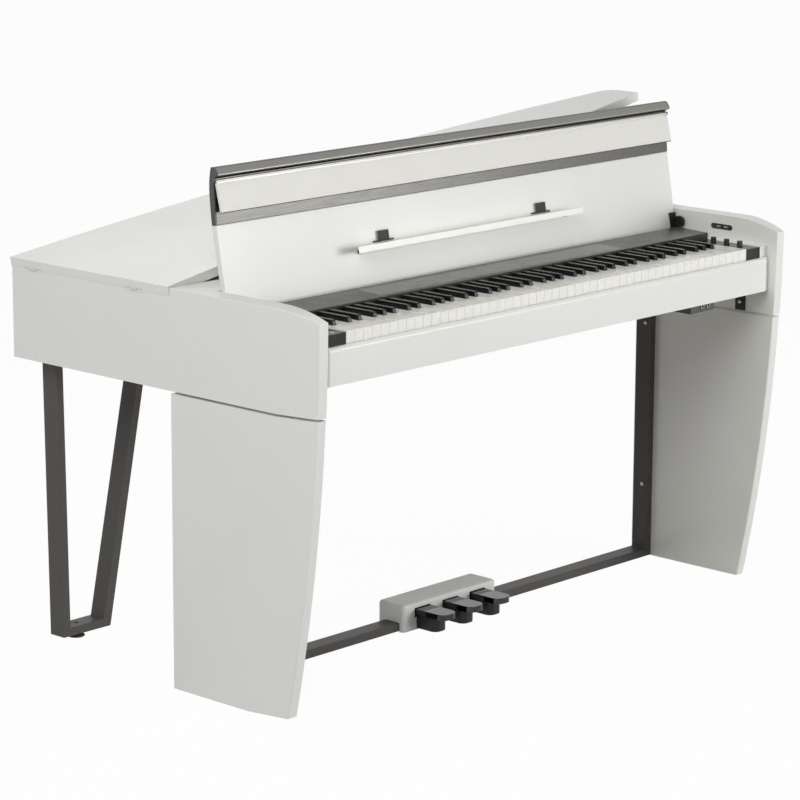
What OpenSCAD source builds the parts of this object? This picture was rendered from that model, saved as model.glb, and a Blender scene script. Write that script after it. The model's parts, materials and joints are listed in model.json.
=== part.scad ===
// Digital piano in the shape of a small grand, on panel legs and a tube stand.
// X runs from the bass end to the treble end, +Y to the back, Z up from the floor.
// Each piece is drawn from the white keys' fronts (Y = 0) and moved to the part's origin by centred().

/* [Case] */
// Width over the outer faces of the two sides
overall_w = 1452.8; // [1440:0.1:1760]
// Depth from the white keys' fronts to the back of the case
case_depth = 811; // [790:1:980]
// Height of the leg panels, floor to seam
leg_h = 588.6; // [490:0.1:710]
// Height of the seam between leg panels and case
seam = 5; // [2:0.5:8]
// Height of the case, seam to top
case_h = 203.4; // [200:0.1:245]
// Thickness of the sides and leg panels
side_t = 42; // [34:1:51]
// Depth of the leg panels at the back, from the key fronts
leg_back = 354; // [345:1:425]
// How far the sides stand out in front of the keys
nose = 26; // [22:1:31]
// Radius of the sides' long front curve
front_r = 3800; // [3200:10:4600]
// Radius of the curve that drops to the nose along the top of the sides
top_r = 340; // [300:5:410]
// Length of that top curve along the side
top_curve = 90; // [80:1:108]
// Width of the bevel along the outer front edge
bevel_w = 91; // [75:1:110]
// How far the bevel runs in at the edge
bevel_in = 18.4; // [15:0.1:22]
// Thickness of the floor boards
board_t = 15; // [12:0.5:18]
// Thickness of the curved rim at the back
rim_t = 18; // [15:0.5:22]

/* [Lid] */
// Thickness of the lid
lid_t = 19.2; // [16:0.1:23]
// Gap under the closed lid
lid_gap = 0.8; // [0.5:0.1:1.2]
// Angle at which the lid stands open
lid_open = 9.8; // [8:0.1:11]
// Front edge of the lid, from the key fronts
lid_front = 355; // [350:1:420]
// Radius of the lid's long back curve
back_r = 5200; // [4400:50:6200]
// Radius of the lid's back corner at the treble end
lid_corner = 45; // [36:1:54]
// Length of each lid hinge
hinge_len = 48; // [40:1:58]
// Angle of the prop stick above level
prop_angle = 50; // [46:1:54]

/* [Fallboard] */
// Lean of the open fallboard
lean = 10.3; // [9:0.1:11.5]
// Height of the fallboard's white panel
panel_h = 169.8; // [142:0.1:180]
// Thickness of the fallboard's panel
panel_t = 12; // [10:0.5:14]
// Length of the folding nose flap
flap_len = 58.7; // [49:0.1:60]
// Thickness of the nose flap
flap_t = 5; // [4:0.1:5.2]
// Width of the music rest
rest_w = 682; // [570:1:820]
// Depth of the music rest in front of the fallboard
rest_d = 31; // [26:0.5:34]
// Thickness of the music rest
rest_t = 12.3; // [10:0.1:12.5]

/* [Keyboard] */
// Distance from one white key to the next
key_pitch = 23.5; // [19.6:0.1:23.6]
// Gap between two neighbouring keys
key_gap = 1; // [0.8:0.1:1.4]
// Length of the white keys in front of the control panel
key_len = 138; // [116:1:139]
// Where the black keys begin behind the white keys' fronts
black_start = 53; // [45:1:62]
// How far the black keys stand above the white keys
black_rise = 9.5; // [8:0.5:11.5]
// Width of a black key
black_w = 10.6; // [9:0.1:11]
// Thickness of the white keys
key_t = 24.8; // [20.7:0.1:28]

/* [Stand] */
// Width of the stand's flat tube, front to back
tube_w = 41; // [34:1:49]
// Thickness of the stand's flat tube
tube_t = 18; // [15:0.5:21]
// Front of the stand's front frame, from the key fronts
frame_y = 297; // [250:1:300]
// Width of the pedal box
pedal_box_w = 288; // [250:1:345]
// Height of the pedal box
pedal_box_h = 58; // [54:0.5:69]
// Distance between two pedals
pedal_pitch = 85; // [71:1:96]
// Width of a pedal
pedal_w = 46; // [38:1:55]

/* [Hidden] */
$fn = 48;

// Clearances
eps = 0.01;
face_gap = 0.3;
run_gap = 0.05;

// Overall places
origin_y = (case_depth - nose) / 2;
side_out = overall_w / 2;
side_in = side_out - side_t;
base_z = leg_h + seam;
top_z = base_z + case_h;
side_top = top_z - 3.5;
front_centre_y = front_r - nose;
front_centre_z = top_z - 7;
tray_top = base_z + board_t;

// Heights inside the case, hung from its top
seat_z = top_z - lid_t - lid_gap;
key_top = top_z - 53.5;
key_bottom = key_top - key_t;
slip_lap = 0.7;
slip_top = key_bottom + slip_lap;
slip_bottom = top_z - 150;
bed_t = 16;
bed_top = slip_bottom + bed_t;
bed_back = 290;

// Keyslip under the key fronts
slip_y = -12;
slip_t = 10;
slip_round = 8;
slip_end_r = 24;

// Key block and cheeks
keys_w = 52 * key_pitch;
ledge_w = 25.4;
ledge_x = side_in - ledge_w;
cheek_x = keys_w / 2 + 0.5;
cheek_top = key_top - 1.5;
panel_y = key_len + 2;
panel_rise = 3;
panel_run = 78;
ledge_back = panel_y + panel_run;

// Lid
hinge_inset = 3;
hinge_x = -side_out + hinge_inset;
hinge_z = seat_z + 0.3;
lid_z = seat_z + lid_gap;
lid_end_x = side_out - 26.4;
arc_left = [-side_out + 5.4, case_depth + 1];
arc_right = [side_out - 36.4, case_depth - 370];
arc_chord = arc_right - arc_left;
arc_half = norm(arc_chord) / 2;
arc_drop = sqrt(back_r * back_r - arc_half * arc_half);
arc_centre = (arc_left + arc_right) / 2 + [arc_chord.y, -arc_chord.x] / norm(arc_chord) * arc_drop;
corner_x = lid_end_x - lid_corner;
corner_y = arc_centre.y + sqrt(pow(back_r - lid_corner, 2) - pow(corner_x - arc_centre.x, 2));
corner_centre = [corner_x, corner_y];
corner_dir = (corner_centre - arc_centre) / (back_r - lid_corner);
knuckle_r = 2.5;
hinge_pin_r = 1.2;
leaf_t = 1.6;
leaf_h = 6;
hinge_y = [lid_front + 75, case_depth - 88];
rim_inset = 4;
rim_end_y = arc_centre.y + sqrt(pow(back_r - rim_inset, 2) - pow(side_in - arc_centre.x, 2));

// Prop stick under the lid
prop_x = side_out - 166.4;
prop_y = rim_end_y + 2;
prop_z = seat_z - 20;
prop_t = 12;
prop_end_r = 6;
prop_boss_r = 12;
prop_pin_r = 4;
pad_t = 3;
prop_reach = (prop_x - hinge_x) * sin(lid_open) - (prop_z - hinge_z) * cos(lid_open)
    + (lid_z - hinge_z) - (pad_t + face_gap + prop_end_r);
prop_len = prop_reach / sin(prop_angle + lid_open);
prop_tip = [prop_x - prop_len * cos(prop_angle), prop_z + prop_len * sin(prop_angle)];
pad_x = hinge_x + (prop_tip.x - hinge_x) * cos(lid_open) + (prop_tip.y - hinge_z) * sin(lid_open);

// Fallboard, in its own frame: Y back through the board, Z up its face, origin on the pivot
pivot_y = ledge_back + 15;
pivot_z = top_z - 29;
board_x = side_in - 4.4;
board_front = 12.8;
board_low = -16;
board_high = board_low + panel_h;
top_board_front = pivot_y + 35;
pivot_pin_r = 4;
arm_r = 12;
arm_t = 5.5;
profile_h = 110;
bead_y = 1.5;
bead_z = board_high + 82.7;
bead_r = 2.5;
flap_pin_r = 1.2;
flap_lean = 3.5;
flap_tab = 2.5;
rest_pivot_y = 9;
rest_pivot_z = 58;
rest_pin_r = 2;
rest_bead_r = 3;
rest_low = rest_pivot_z - 1.5;
rest_front = board_front - 0.6 - rest_d;
rest_shoulder = rest_pivot_y - 5.5;
rest_end_x = rest_w / 2 - rest_d;
clip_y = 9.5;
clip_z = rest_low + rest_t + 3.2;
clip_r = 1.5;
clip_pin_r = 0.8;
clip_w = 50;
clip_plate_w = 30;
clip_plate_h = 20;
clip_mid = 0.35 * rest_w;

// Control panel
panel_front_z = key_top + 12.5;
panel_lip = 16;
sheet_t = 3;
panel_slope = atan(panel_rise / panel_run);
window_w = 736;
window_mid = 9;
window_t = 1;

// Keys
tail_len = 42;
tail_t = 14;
tail_top = key_top - 11;
key_pivot_y = key_len + 35;
key_pivot_z = tail_top - tail_t / 2;
rod_r = 2.45;
whites = [0, 2, 4, 5, 7, 9, 11];
blacks = [1, 3, 6, 8, 10];
moving_octave = 3;

// Knobs on the treble cheek and button on the bass cheek
knob_r = 6.5;
knob_h = 12;
knob_shaft_r = 3;
knob_y = [36, 71, 106];
knob_x = cheek_x + 23.5;
button_r = 4;
button_rise = 2;

// Socket plate in the treble side
port_y = 94;
port_z = top_z - 35;
port_w = 58;
port_h = 12;
port_depth = 8;

// Headphone box
jack_x = side_in - 234;
jack_y = 20;
jack_w = 80;
jack_d = 60;
jack_h = 25;
jack_holes = [jack_x + 38, jack_x + 58];

// Inside the case
woofer_at = [[-side_in + 280, case_depth - 330], [150, 425]];
woofer_r = 62;
woofer_hole_r = 50;
inlet_at = [300, 330];
inlet_w = 48;
inlet_d = 28;
circuit_at = [-200, 330];

// Stand
frame_x = side_in;
foot_gap = 1.7;
leg_y = case_depth - 73;
leg_low = 10;
leg_left = [-side_in + 12.9, -side_in + 4.4];
leg_right = [-side_in + 139.9, -side_in + 257.4];
leveller_x = -side_in + 63.4;
leveller_r = 18;
leveller_neck_r = 6;
leveller_stem_r = 5;

// Pedals
pedal_box_y = frame_y - 12;
pedal_box_d = tube_w + 32;
pedal_box_wall = 4;
pedal_tip_y = pedal_box_y - 79;
pedal_nose_r = 18;
pedal_skirt = 12.5;
pedal_sheet = 3;
pedal_wall = 2.5;
block_tip_y = pedal_tip_y + 25;
block_nose_r = 15;
pedal_top = pedal_box_h - 13;
axle_y = frame_y + tube_w - 3;
axle_z = pedal_top - 9.5;
axle_r = 3;

// Chromatic place of a key's rear part within its octave
function slot_w(n) = n < 5 ? 3 * key_pitch / 5 : 4 * key_pitch / 7;
function slot_x(n) = n < 5 ? n * slot_w(0) : 3 * key_pitch + (n - 5) * slot_w(5);
function octave_x(k) = -keys_w / 2 + (2 + 7 * k) * key_pitch;
function has_white(k, w) = k == -1 ? w >= 5 : (k == 7 ? w == 0 : true);
function has_black(k, n) = k == -1 ? n == 10 : k < 7;

module centred() {
    translate([0, -origin_y, 0]) children();
}

// Runs an outline drawn in Y and Z along X
module along_x(x0, x1) {
    translate([x0, 0, 0]) rotate([90, 0, 90]) linear_extrude(x1 - x0) children();
}

module block(x0, x1, y0, y1, z0, z1) {
    translate([x0, y0, z0]) cube([x1 - x0, y1 - y0, z1 - z0]);
}

module rod_x(x0, x1, y, z, r) {
    translate([x0, y, z]) rotate([0, 90, 0]) cylinder(r = r, h = x1 - x0);
}

module rod_y(x, y0, y1, z, r) {
    translate([x, y0, z]) rotate([-90, 0, 0]) cylinder(r = r, h = y1 - y0);
}

module rod_z(x, y, z0, z1, r) {
    translate([x, y, z0]) cylinder(r = r, h = z1 - z0);
}

module rounded_square(w, d, r) {
    translate([r, 0]) square([w - 2 * r, d]);
    translate([0, r]) square([w, d - 2 * r]);
    for (x = [r, w - r], y = [r, d - r]) translate([x, y]) circle(r);
}

module both_sides() {
    children();
    mirror([1, 0, 0]) children();
}

// ---------- Sides and legs ----------

// Treble-side slab with the long front curve and its outer bevel
module side_slab(z0, z1, y_back) {
    intersection() {
        block(side_in - 1, side_out + 1, -2 * nose, y_back, z0, z1);
        translate([0, front_centre_y, front_centre_z]) rotate([0, 90, 0]) rotate_extrude($fn = 720)
            polygon([[front_r - case_depth - 500, side_in], [front_r, side_in],
                [front_r, side_out - bevel_in], [front_r - bevel_w, side_out],
                [front_r - case_depth - 500, side_out]]);
    }
}

module nose_cut() {
    difference() {
        block(side_in - 2, side_out + 2, -2 * nose, top_curve, top_z - 60, top_z + 1);
        rod_x(side_in - 3, side_out + 3, top_curve, side_top - top_r, top_r);
    }
}

// Upper side with the inner ledge beside the keys
module treble_side(y_back) {
    difference() {
        side_slab(base_z, side_top, y_back);
        nose_cut();
        block(side_in - 2, side_out + 2, lid_front - 1, case_depth + 100, seat_z, top_z + 1);
    }
    block(ledge_x, side_in + eps, 0, ledge_back, bed_top, cheek_top);
}

module left_side_panel() color("#E6E6DF") centred() difference() {
    mirror([1, 0, 0]) treble_side(case_depth);
    for (y = hinge_y) hinge_pocket(y);
    for (y = hinge_y)
        block(-side_out - 1, -side_out + leaf_t, y, y + hinge_len, seat_z - leaf_h, seat_z + 1);
}

module right_side_panel() color("#E6E6DF") centred() difference() {
    treble_side(rim_end_y);
    along_x(side_in - 1, side_in + port_depth) port_outline();
}

module left_leg_panel() color("#DEDDD6") centred() mirror([1, 0, 0]) side_slab(0, leg_h, leg_back);

module right_leg_panel() color("#DEDDD6") centred() side_slab(0, leg_h, leg_back);

// ---------- Case boards ----------

module back_outline(inset) {
    translate(arc_centre) circle(back_r - inset, $fn = 720);
}

module rear_rim() color("#DADAD4") centred() translate([0, 0, tray_top])
    linear_extrude(seat_z - tray_top) intersection() {
        difference() {
            back_outline(rim_inset);
            back_outline(rim_inset + rim_t);
        }
        translate([-side_in, lid_front]) square([2 * side_in, case_depth]);
    }

module rear_tray() color("#8A8A86") centred() {
    difference() {
        translate([0, 0, base_z]) linear_extrude(board_t) intersection() {
            back_outline(rim_inset);
            translate([-side_in, bed_back - 40]) square([2 * side_in, case_depth]);
        }
        for (p = woofer_at) translate([p.x, p.y, base_z - 1]) cylinder(r = woofer_hole_r, h = board_t + 2);
        translate(concat(inlet_at, base_z - 1)) cube([inlet_w, inlet_d, board_t + 2]);
    }
    block(-side_in, side_in, bed_back - 40, bed_back - 40 + board_t, tray_top - eps, slip_bottom);
}

module keybed() color("#8A8A86") centred()
    block(-side_in, side_in, slip_y + slip_t, bed_back, slip_bottom, bed_top);

module keyslip() color("#E4E4DE") centred() difference() {
    along_x(-side_in, side_in) {
        translate([slip_y, slip_bottom]) square([slip_t, slip_top - slip_round - slip_bottom]);
        translate([slip_y + slip_round, slip_bottom])
            square([slip_t - slip_round, slip_top - slip_bottom]);
        translate([slip_y + slip_round, slip_top - slip_round]) intersection() {
            circle(slip_round);
            translate([-slip_round, 0]) square(slip_round);
        }
    }
    for (s = [-1, 1]) translate([s * side_in, slip_y + slip_t - 2 - slip_end_r, slip_bottom - 1])
        cylinder(r = slip_end_r, h = case_h, $fn = 96);
}

module top_board() color("#E6E6DF") centred()
    block(-side_in, side_in, top_board_front, lid_front - 3, side_top - 15, side_top);

// ---------- Lid ----------

// Turns a piece drawn on the closed lid to where the lid stands open
module on_lid() {
    translate([hinge_x, 0, hinge_z]) rotate([0, -lid_open, 0]) translate([-hinge_x, 0, -hinge_z])
        children();
}

module hinge_pocket(y) {
    rod_y(hinge_x, y, y + hinge_len, hinge_z, knuckle_r + face_gap);
}

module lid_outline() {
    difference() {
        intersection() {
            back_outline(0);
            translate([-side_out, lid_front]) square([side_out + lid_end_x, case_depth]);
        }
        difference() {
            polygon([corner_centre, [lid_end_x, corner_y], [lid_end_x + 20, corner_y],
                [lid_end_x + 20, corner_y + 2 * lid_corner],
                arc_centre + corner_dir * (back_r + 20), arc_centre + corner_dir * back_r]);
            translate(corner_centre) circle(lid_corner);
        }
    }
}

module lid() color("#E8E8E2") centred() on_lid() difference() {
    translate([0, 0, lid_z]) linear_extrude(lid_t) lid_outline();
    for (y = hinge_y) hinge_pocket(y);
    for (y = hinge_y)
        block(-side_out - 1, -side_out + leaf_t, y, y + hinge_len, lid_z - 1, lid_z + leaf_h);
}

// Leaf on the lid with the hinge's middle knuckle
module lid_hinge_leaves() color("#B9B9B4") centred() on_lid() for (y = hinge_y) difference() {
    union() {
        block(-side_out, -side_out + leaf_t, y + face_gap, y + hinge_len - face_gap,
            hinge_z + knuckle_r + face_gap, lid_z + leaf_h);
        block(-side_out, -side_out + leaf_t, y + hinge_len / 3 + face_gap,
            y + 2 * hinge_len / 3 - face_gap, hinge_z + 0.5, lid_z + leaf_h);
        rod_y(hinge_x, y + hinge_len / 3 + face_gap, y + 2 * hinge_len / 3 - face_gap, hinge_z,
            knuckle_r);
    }
    rod_y(hinge_x, y - 1, y + hinge_len + 1, hinge_z, hinge_pin_r + run_gap);
}

// Plate on the side with the two outer knuckles and the pin
module lid_hinge_plates() color("#B9B9B4") centred() for (y = hinge_y) {
    block(-side_out, -side_out + leaf_t, y + face_gap, y + hinge_len - face_gap,
        seat_z - leaf_h, hinge_z - knuckle_r - face_gap);
    for (t = [0, 2]) {
        y0 = y + t * hinge_len / 3 + face_gap;
        y1 = y + (t + 1) * hinge_len / 3 - face_gap;
        rod_y(hinge_x, y0, y1, hinge_z, knuckle_r);
        block(-side_out, -side_out + leaf_t, y0, y1, seat_z - leaf_h, hinge_z - 0.5);
    }
    rod_y(hinge_x, y + face_gap, y + hinge_len - face_gap, hinge_z, hinge_pin_r);
}

module lid_prop() color("#3C3B39") centred() difference() {
    translate([prop_x, prop_y - prop_t, prop_z]) rotate([0, prop_angle - 180, 0]) {
        translate([0, 0, -prop_end_r]) cube([prop_len, prop_t, 2 * prop_end_r]);
        rotate([-90, 0, 0]) cylinder(r = prop_boss_r, h = prop_t);
        translate([prop_len, 0, 0]) rotate([-90, 0, 0]) cylinder(r = prop_end_r, h = prop_t);
    }
    rod_y(prop_x, prop_y - prop_t - 1, prop_y + 1, prop_z, prop_pin_r + run_gap);
}

module prop_bracket() color("#4A4846") centred() {
    difference() {
        block(prop_x - 20, prop_x + 20, prop_y + face_gap, prop_y + 60, prop_z - 20, seat_z - 3);
        translate([0, 0, prop_z - 21]) linear_extrude(60) difference() {
            translate([prop_x - 30, prop_y - 20]) square([60, 200]);
            back_outline(rim_inset + rim_t);
        }
    }
    rod_y(prop_x, prop_y - prop_t - 3, prop_y + 1, prop_z, prop_pin_r);
    rod_y(prop_x, prop_y - prop_t - 3, prop_y - prop_t - face_gap, prop_z, prop_pin_r + 3);
}

module prop_pad() color("#333333") centred() on_lid()
    translate([pad_x - 20, prop_y - prop_t - 4, lid_z - pad_t]) cube([40, prop_t + 8, pad_t]);

// ---------- Fallboard ----------

// Moves a piece drawn in the fallboard's own frame to where the board stands open
module on_fallboard() {
    translate([0, pivot_y, pivot_z]) rotate([-lean, 0, 0]) children();
}

module fallboard_panel() color("#ECECE6") centred() on_fallboard()
    block(-board_x, board_x, board_front, board_front + panel_t, board_low, board_high);

// Metal extrusion along the top, with the hood that the flap hangs under
module fallboard_profile() color("#4A4846") centred() on_fallboard() {
    along_x(-board_x, board_x) translate([0, board_high]) polygon([[board_front, 0],
        [9.8, 30], [6.6, 58], [5, 78], [4.6, 87.5], [-7.6, 91.6], [-8.4, 93.4], [-7.4, 98],
        [-3.2, 106.6], [1.5, profile_h - 0.6], [6.5, profile_h - 0.4], [10.6, 100], [15.5, 84],
        [18.6, 68], [21.4, 42], [23.6, 12], [24, 0]]);
    for (s = [-1, 1]) {
        x = s > 0 ? board_x - flap_tab : -board_x;
        along_x(x, x + flap_tab) {
            translate([bead_y, bead_z]) circle(bead_r + 0.9);
            translate([bead_y, bead_z - 3]) square([6, 6]);
        }
        rod_x(s > 0 ? x - 9 : x, s > 0 ? x + 1 : x + flap_tab + 9, bead_y, bead_z, flap_pin_r);
    }
}

module fallboard_flap() color("#ECECE6") centred() on_fallboard() difference() {
    union() {
        rod_x(-board_x + flap_tab + face_gap, board_x - flap_tab - face_gap, bead_y, bead_z, bead_r);
        translate([0, bead_y, bead_z]) rotate([-flap_lean, 0, 0])
            block(-board_x + flap_tab + face_gap, board_x - flap_tab - face_gap, -flap_t / 2,
                flap_t / 2, -flap_len - 2.9, -1.5);
    }
    for (s = [-1, 1])
        rod_x(s > 0 ? board_x - 13 : -board_x, s > 0 ? board_x : -board_x + 13, bead_y, bead_z,
            flap_pin_r + run_gap);
}

// Pivot arms at the board's ends, and the lugs that carry music rest and page clips
module fallboard_brackets() color("#2E2D2B") centred() on_fallboard() both_sides() {
    difference() {
        union() {
            block(board_x - 20, board_x - 0.5, board_front - 3, board_front, board_low + 2, 21);
            rod_x(board_x - 0.5 - arm_t, board_x - 0.5, 0, 0, arm_r);
        }
        rod_x(board_x - 30, board_x + 1, 0, 0, pivot_pin_r + run_gap);
    }
    block(rest_end_x + face_gap, rest_end_x + 3, rest_pivot_y - 3, board_front,
        rest_pivot_z - 4, rest_pivot_z + 4);
    rod_x(rest_end_x - 8, rest_end_x + 3, rest_pivot_y, rest_pivot_z, rest_pin_r);
    for (s = [-1, 1]) {
        x = clip_mid + s * (clip_w / 2 + face_gap + 1);
        block(x - 1, x + 1, clip_y - clip_r, board_front, clip_z - clip_r, clip_z + clip_r);
        rod_x(x - (s > 0 ? 5 : 1), x + (s > 0 ? 1 : 5), clip_y, clip_z, clip_pin_r);
    }
}

// Flanged pins on the inner faces of the sides
module fallboard_pivots() color("#55534F") centred() both_sides() {
    rod_x(board_x, side_in, pivot_y, pivot_z, arm_r - 2);
    rod_x(board_x - 0.5 - arm_t, side_in, pivot_y, pivot_z, pivot_pin_r);
}

// Shelf with mitred ends that folds flat on the board
module music_rest() color("#E2E2DC") centred() on_fallboard() difference() {
    union() {
        translate([0, 0, rest_low]) linear_extrude(rest_t) polygon([[-rest_w / 2, rest_front],
            [rest_w / 2, rest_front], [rest_end_x, rest_shoulder], [rest_end_x, rest_pivot_y],
            [-rest_end_x, rest_pivot_y], [-rest_end_x, rest_shoulder]]);
        block(-rest_end_x, rest_end_x, rest_pivot_y - eps, board_front - 0.6, rest_pivot_z,
            rest_low + rest_t);
        rod_x(-rest_end_x, rest_end_x, rest_pivot_y, rest_pivot_z, rest_bead_r);
    }
    for (s = [-1, 1]) rod_x(s * rest_end_x - 10, s * rest_end_x + 10, rest_pivot_y, rest_pivot_z,
        rest_pin_r + run_gap);
}

module page_clip() on_fallboard() difference() {
    union() {
        rod_x(clip_mid - clip_w / 2, clip_mid + clip_w / 2, clip_y, clip_z, clip_r);
        block(clip_mid - clip_plate_w / 2, clip_mid + clip_plate_w / 2, clip_y - clip_r,
            clip_y - 0.2, clip_z - 0.5, clip_z + clip_plate_h);
    }
    for (s = [-1, 1]) rod_x(clip_mid + s * clip_w / 2 - 5, clip_mid + s * clip_w / 2 + 5, clip_y,
        clip_z, clip_pin_r + run_gap);
}

module left_page_clip() color("#2B2A28") centred() mirror([1, 0, 0]) page_clip();

module right_page_clip() color("#2B2A28") centred() page_clip();

// ---------- Controls ----------

// Stands a piece on the control panel's slope, Y up the slope
module on_slope() {
    translate([0, panel_y, panel_front_z]) rotate([panel_slope, 0, 0]) children();
}

module control_panel() color("#3F3E3D") centred() difference() {
    along_x(-ledge_x, ledge_x) polygon([[panel_y, panel_front_z - panel_lip], [panel_y, panel_front_z],
        [panel_y + panel_run, panel_front_z + panel_rise],
        [panel_y + panel_run + 8, panel_front_z + panel_rise],
        [panel_y + panel_run + 8, panel_front_z - 10],
        [panel_y + panel_run + 8 - sheet_t, panel_front_z - 10],
        [panel_y + panel_run + 8 - sheet_t, panel_front_z + panel_rise - sheet_t],
        [panel_y + panel_run, panel_front_z + panel_rise - sheet_t],
        [panel_y + sheet_t, panel_front_z - sheet_t],
        [panel_y + sheet_t, panel_front_z - panel_lip]]);
    on_slope() block(window_mid - window_w / 2, window_mid + window_w / 2, 10, panel_run - 8,
        -window_t, 1);
}

module control_window() color("#6B6A66") centred() on_slope()
    block(window_mid - window_w / 2, window_mid + window_w / 2, 10, panel_run - 8, -window_t, 0.2);

module cheek() {
    block(cheek_x, ledge_x, 0, panel_y - face_gap, bed_top, cheek_top);
}

module left_cheek() color("#383736") centred() difference() {
    mirror([1, 0, 0]) cheek();
    rod_z(-knob_x, 15, cheek_top - 8, cheek_top + 1, button_r + face_gap);
}

module right_cheek() color("#383736") centred() difference() {
    cheek();
    for (y = knob_y) rod_z(knob_x, y, cheek_top - 9, cheek_top + 1, knob_shaft_r + run_gap);
}

module knob(i) color("#2A2A29") centred() {
    rod_z(knob_x, knob_y[i], cheek_top + face_gap, cheek_top + knob_h, knob_r);
    rod_z(knob_x, knob_y[i], cheek_top - 8, cheek_top + 1, knob_shaft_r);
}

module volume_knob() knob(0);

module bass_knob() knob(1);

module treble_knob() knob(2);

module power_button() color("#B5B5B0") centred()
    rod_z(-knob_x, 15, cheek_top - 5.7, cheek_top + button_rise, button_r);

module port_outline() {
    for (y = [port_h / 2, port_w - port_h / 2]) translate([port_y + y, port_z + port_h / 2])
        circle(port_h / 2);
    translate([port_y + port_h / 2, port_z]) square([port_w - port_h, port_h]);
}

// Socket plate let into the treble side
module port_bezel() color("#2F2F2C") centred() difference() {
    along_x(side_in + 1, side_in + port_depth) port_outline();
    for (y = [12, 32])
        block(side_in, side_in + 6, port_y + y, port_y + y + 14, port_z + 3, port_z + port_h - 3);
}

// Headphone sockets under the treble end of the keybed
module jack_box() color("#33322F") centred() difference() {
    union() {
        block(jack_x, jack_x + jack_w, jack_y, jack_y + jack_d, slip_bottom - jack_h, slip_bottom);
        for (x = jack_holes) rod_y(x, jack_y - 2, jack_y + 1, slip_bottom - jack_h / 2, 6);
    }
    for (x = jack_holes) rod_y(x, jack_y - 3, jack_y + 20, slip_bottom - jack_h / 2, 3.3);
}

// ---------- Keys ----------

module key_tail(x0, x1) {
    block(x0, x1, key_len - eps, key_len + tail_len, tail_top - tail_t, tail_top);
}

// White key w (0 to 6) of octave k, in front, body and tail
module white_key(k, w) {
    front = octave_x(k) + w * key_pitch;
    n = whites[w];
    half = key_gap / 2;
    x0 = (k == -1 && w == 5 ? front : octave_x(k) + slot_x(n)) + half;
    x1 = (k == 7 ? front + key_pitch : octave_x(k) + slot_x(n) + slot_w(n)) - half;
    difference() {
        union() {
            block(front + half, front + key_pitch - half, 0, black_start - key_gap, key_bottom,
                key_top);
            block(x0, x1, black_start - key_gap - eps, key_len, key_bottom, key_top);
            key_tail(x0, x1);
        }
        rod_x(front - key_pitch, front + 2 * key_pitch, key_pivot_y, key_pivot_z, rod_r + run_gap);
    }
}

// Black key of chromatic place n in octave k
module black_key(k, n) {
    mid = octave_x(k) + slot_x(n) + slot_w(n) / 2;
    difference() {
        union() {
            along_x(mid - black_w / 2, mid + black_w / 2) polygon([[black_start, tail_top],
                [black_start + 4.5, key_top + black_rise - 1.5],
                [black_start + 7, key_top + black_rise], [key_len, key_top + black_rise],
                [key_len, tail_top - tail_t], [black_start + 20, tail_top - tail_t],
                [black_start, tail_top - 4]]);
            key_tail(mid - black_w / 2, mid + black_w / 2);
        }
        rod_x(mid - key_pitch, mid + key_pitch, key_pivot_y, key_pivot_z, rod_r + run_gap);
    }
}

module moving_white(w) color("#ECEADF") centred() white_key(moving_octave, w);

module moving_black(n) color("#1C1C1C") centred() black_key(moving_octave, n);

module key_c4() moving_white(0);

module key_c_sharp4() moving_black(1);

module key_d4() moving_white(1);

module key_d_sharp4() moving_black(3);

module key_e4() moving_white(2);

module key_f4() moving_white(3);

module key_f_sharp4() moving_black(6);

module key_g4() moving_white(4);

module key_g_sharp4() moving_black(8);

module key_a4() moving_white(5);

module key_a_sharp4() moving_black(10);

module key_b4() moving_white(6);

module white_keys() color("#ECEADF") centred() for (k = [-1:7], w = [0:6])
    if (k != moving_octave && has_white(k, w)) white_key(k, w);

module black_keys() color("#1C1C1C") centred() for (k = [-1:7], n = blacks)
    if (k != moving_octave && has_black(k, n)) black_key(k, n);

// Frame under the keys with the rod that they all turn on
module key_frame() color("#9A9A96") centred() {
    block(-keys_w / 2, keys_w / 2, 5, key_len + tail_len + 8, bed_top, bed_top + 5);
    block(-keys_w / 2, keys_w / 2, 25, 45, bed_top, key_bottom - 15);
    block(-keys_w / 2, keys_w / 2, key_pivot_y - 10, key_pivot_y + 10, bed_top,
        tail_top - tail_t - 2);
    rod_x(-keys_w / 2 - 4, keys_w / 2 + 4, key_pivot_y, key_pivot_z, rod_r);
    both_sides() block(keys_w / 2 + 0.3, keys_w / 2 + 5, key_pivot_y - 10, key_pivot_y + 10,
        bed_top, tail_top);
    both_sides() block(keys_w / 2 - 1, keys_w / 2 + 5, key_pivot_y - 10, key_pivot_y + 10,
        bed_top, tail_top - tail_t - 2);
}

// ---------- Stand ----------

module front_frame() color("#4B4846") centred() {
    both_sides() block(frame_x - tube_t, frame_x, frame_y, frame_y + tube_w, foot_gap, base_z);
    block(-frame_x, frame_x, frame_y, frame_y + tube_w, foot_gap, foot_gap + tube_t);
}

module rear_leg() color("#4B4846") centred() difference() {
    translate([0, leg_y + tube_w, 0]) rotate([90, 0, 0]) linear_extrude(tube_w) difference() {
        polygon([[leg_left[0], leg_low], [leg_right[0], leg_low], [leg_right[1], base_z],
            [leg_left[1], base_z]]);
        polygon([[leg_left[0] + tube_t, leg_low + tube_t], [leg_right[0] - tube_t, leg_low + tube_t],
            [leg_right[1] - tube_t, base_z + 1], [leg_left[1] + tube_t, base_z + 1]]);
    }
    rod_z(leveller_x, leg_y + tube_w / 2, leg_low - 1, leg_low + tube_t + 1,
        leveller_stem_r + run_gap);
}

module rear_leveller() color("#2B2A28") centred() {
    rod_z(leveller_x, leg_y + tube_w / 2, 0, leg_low - 4, leveller_r);
    rod_z(leveller_x, leg_y + tube_w / 2, 0, leg_low - 0.3, leveller_neck_r);
    rod_z(leveller_x, leg_y + tube_w / 2, 0, leg_low + tube_t - 2, leveller_stem_r);
}

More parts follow.
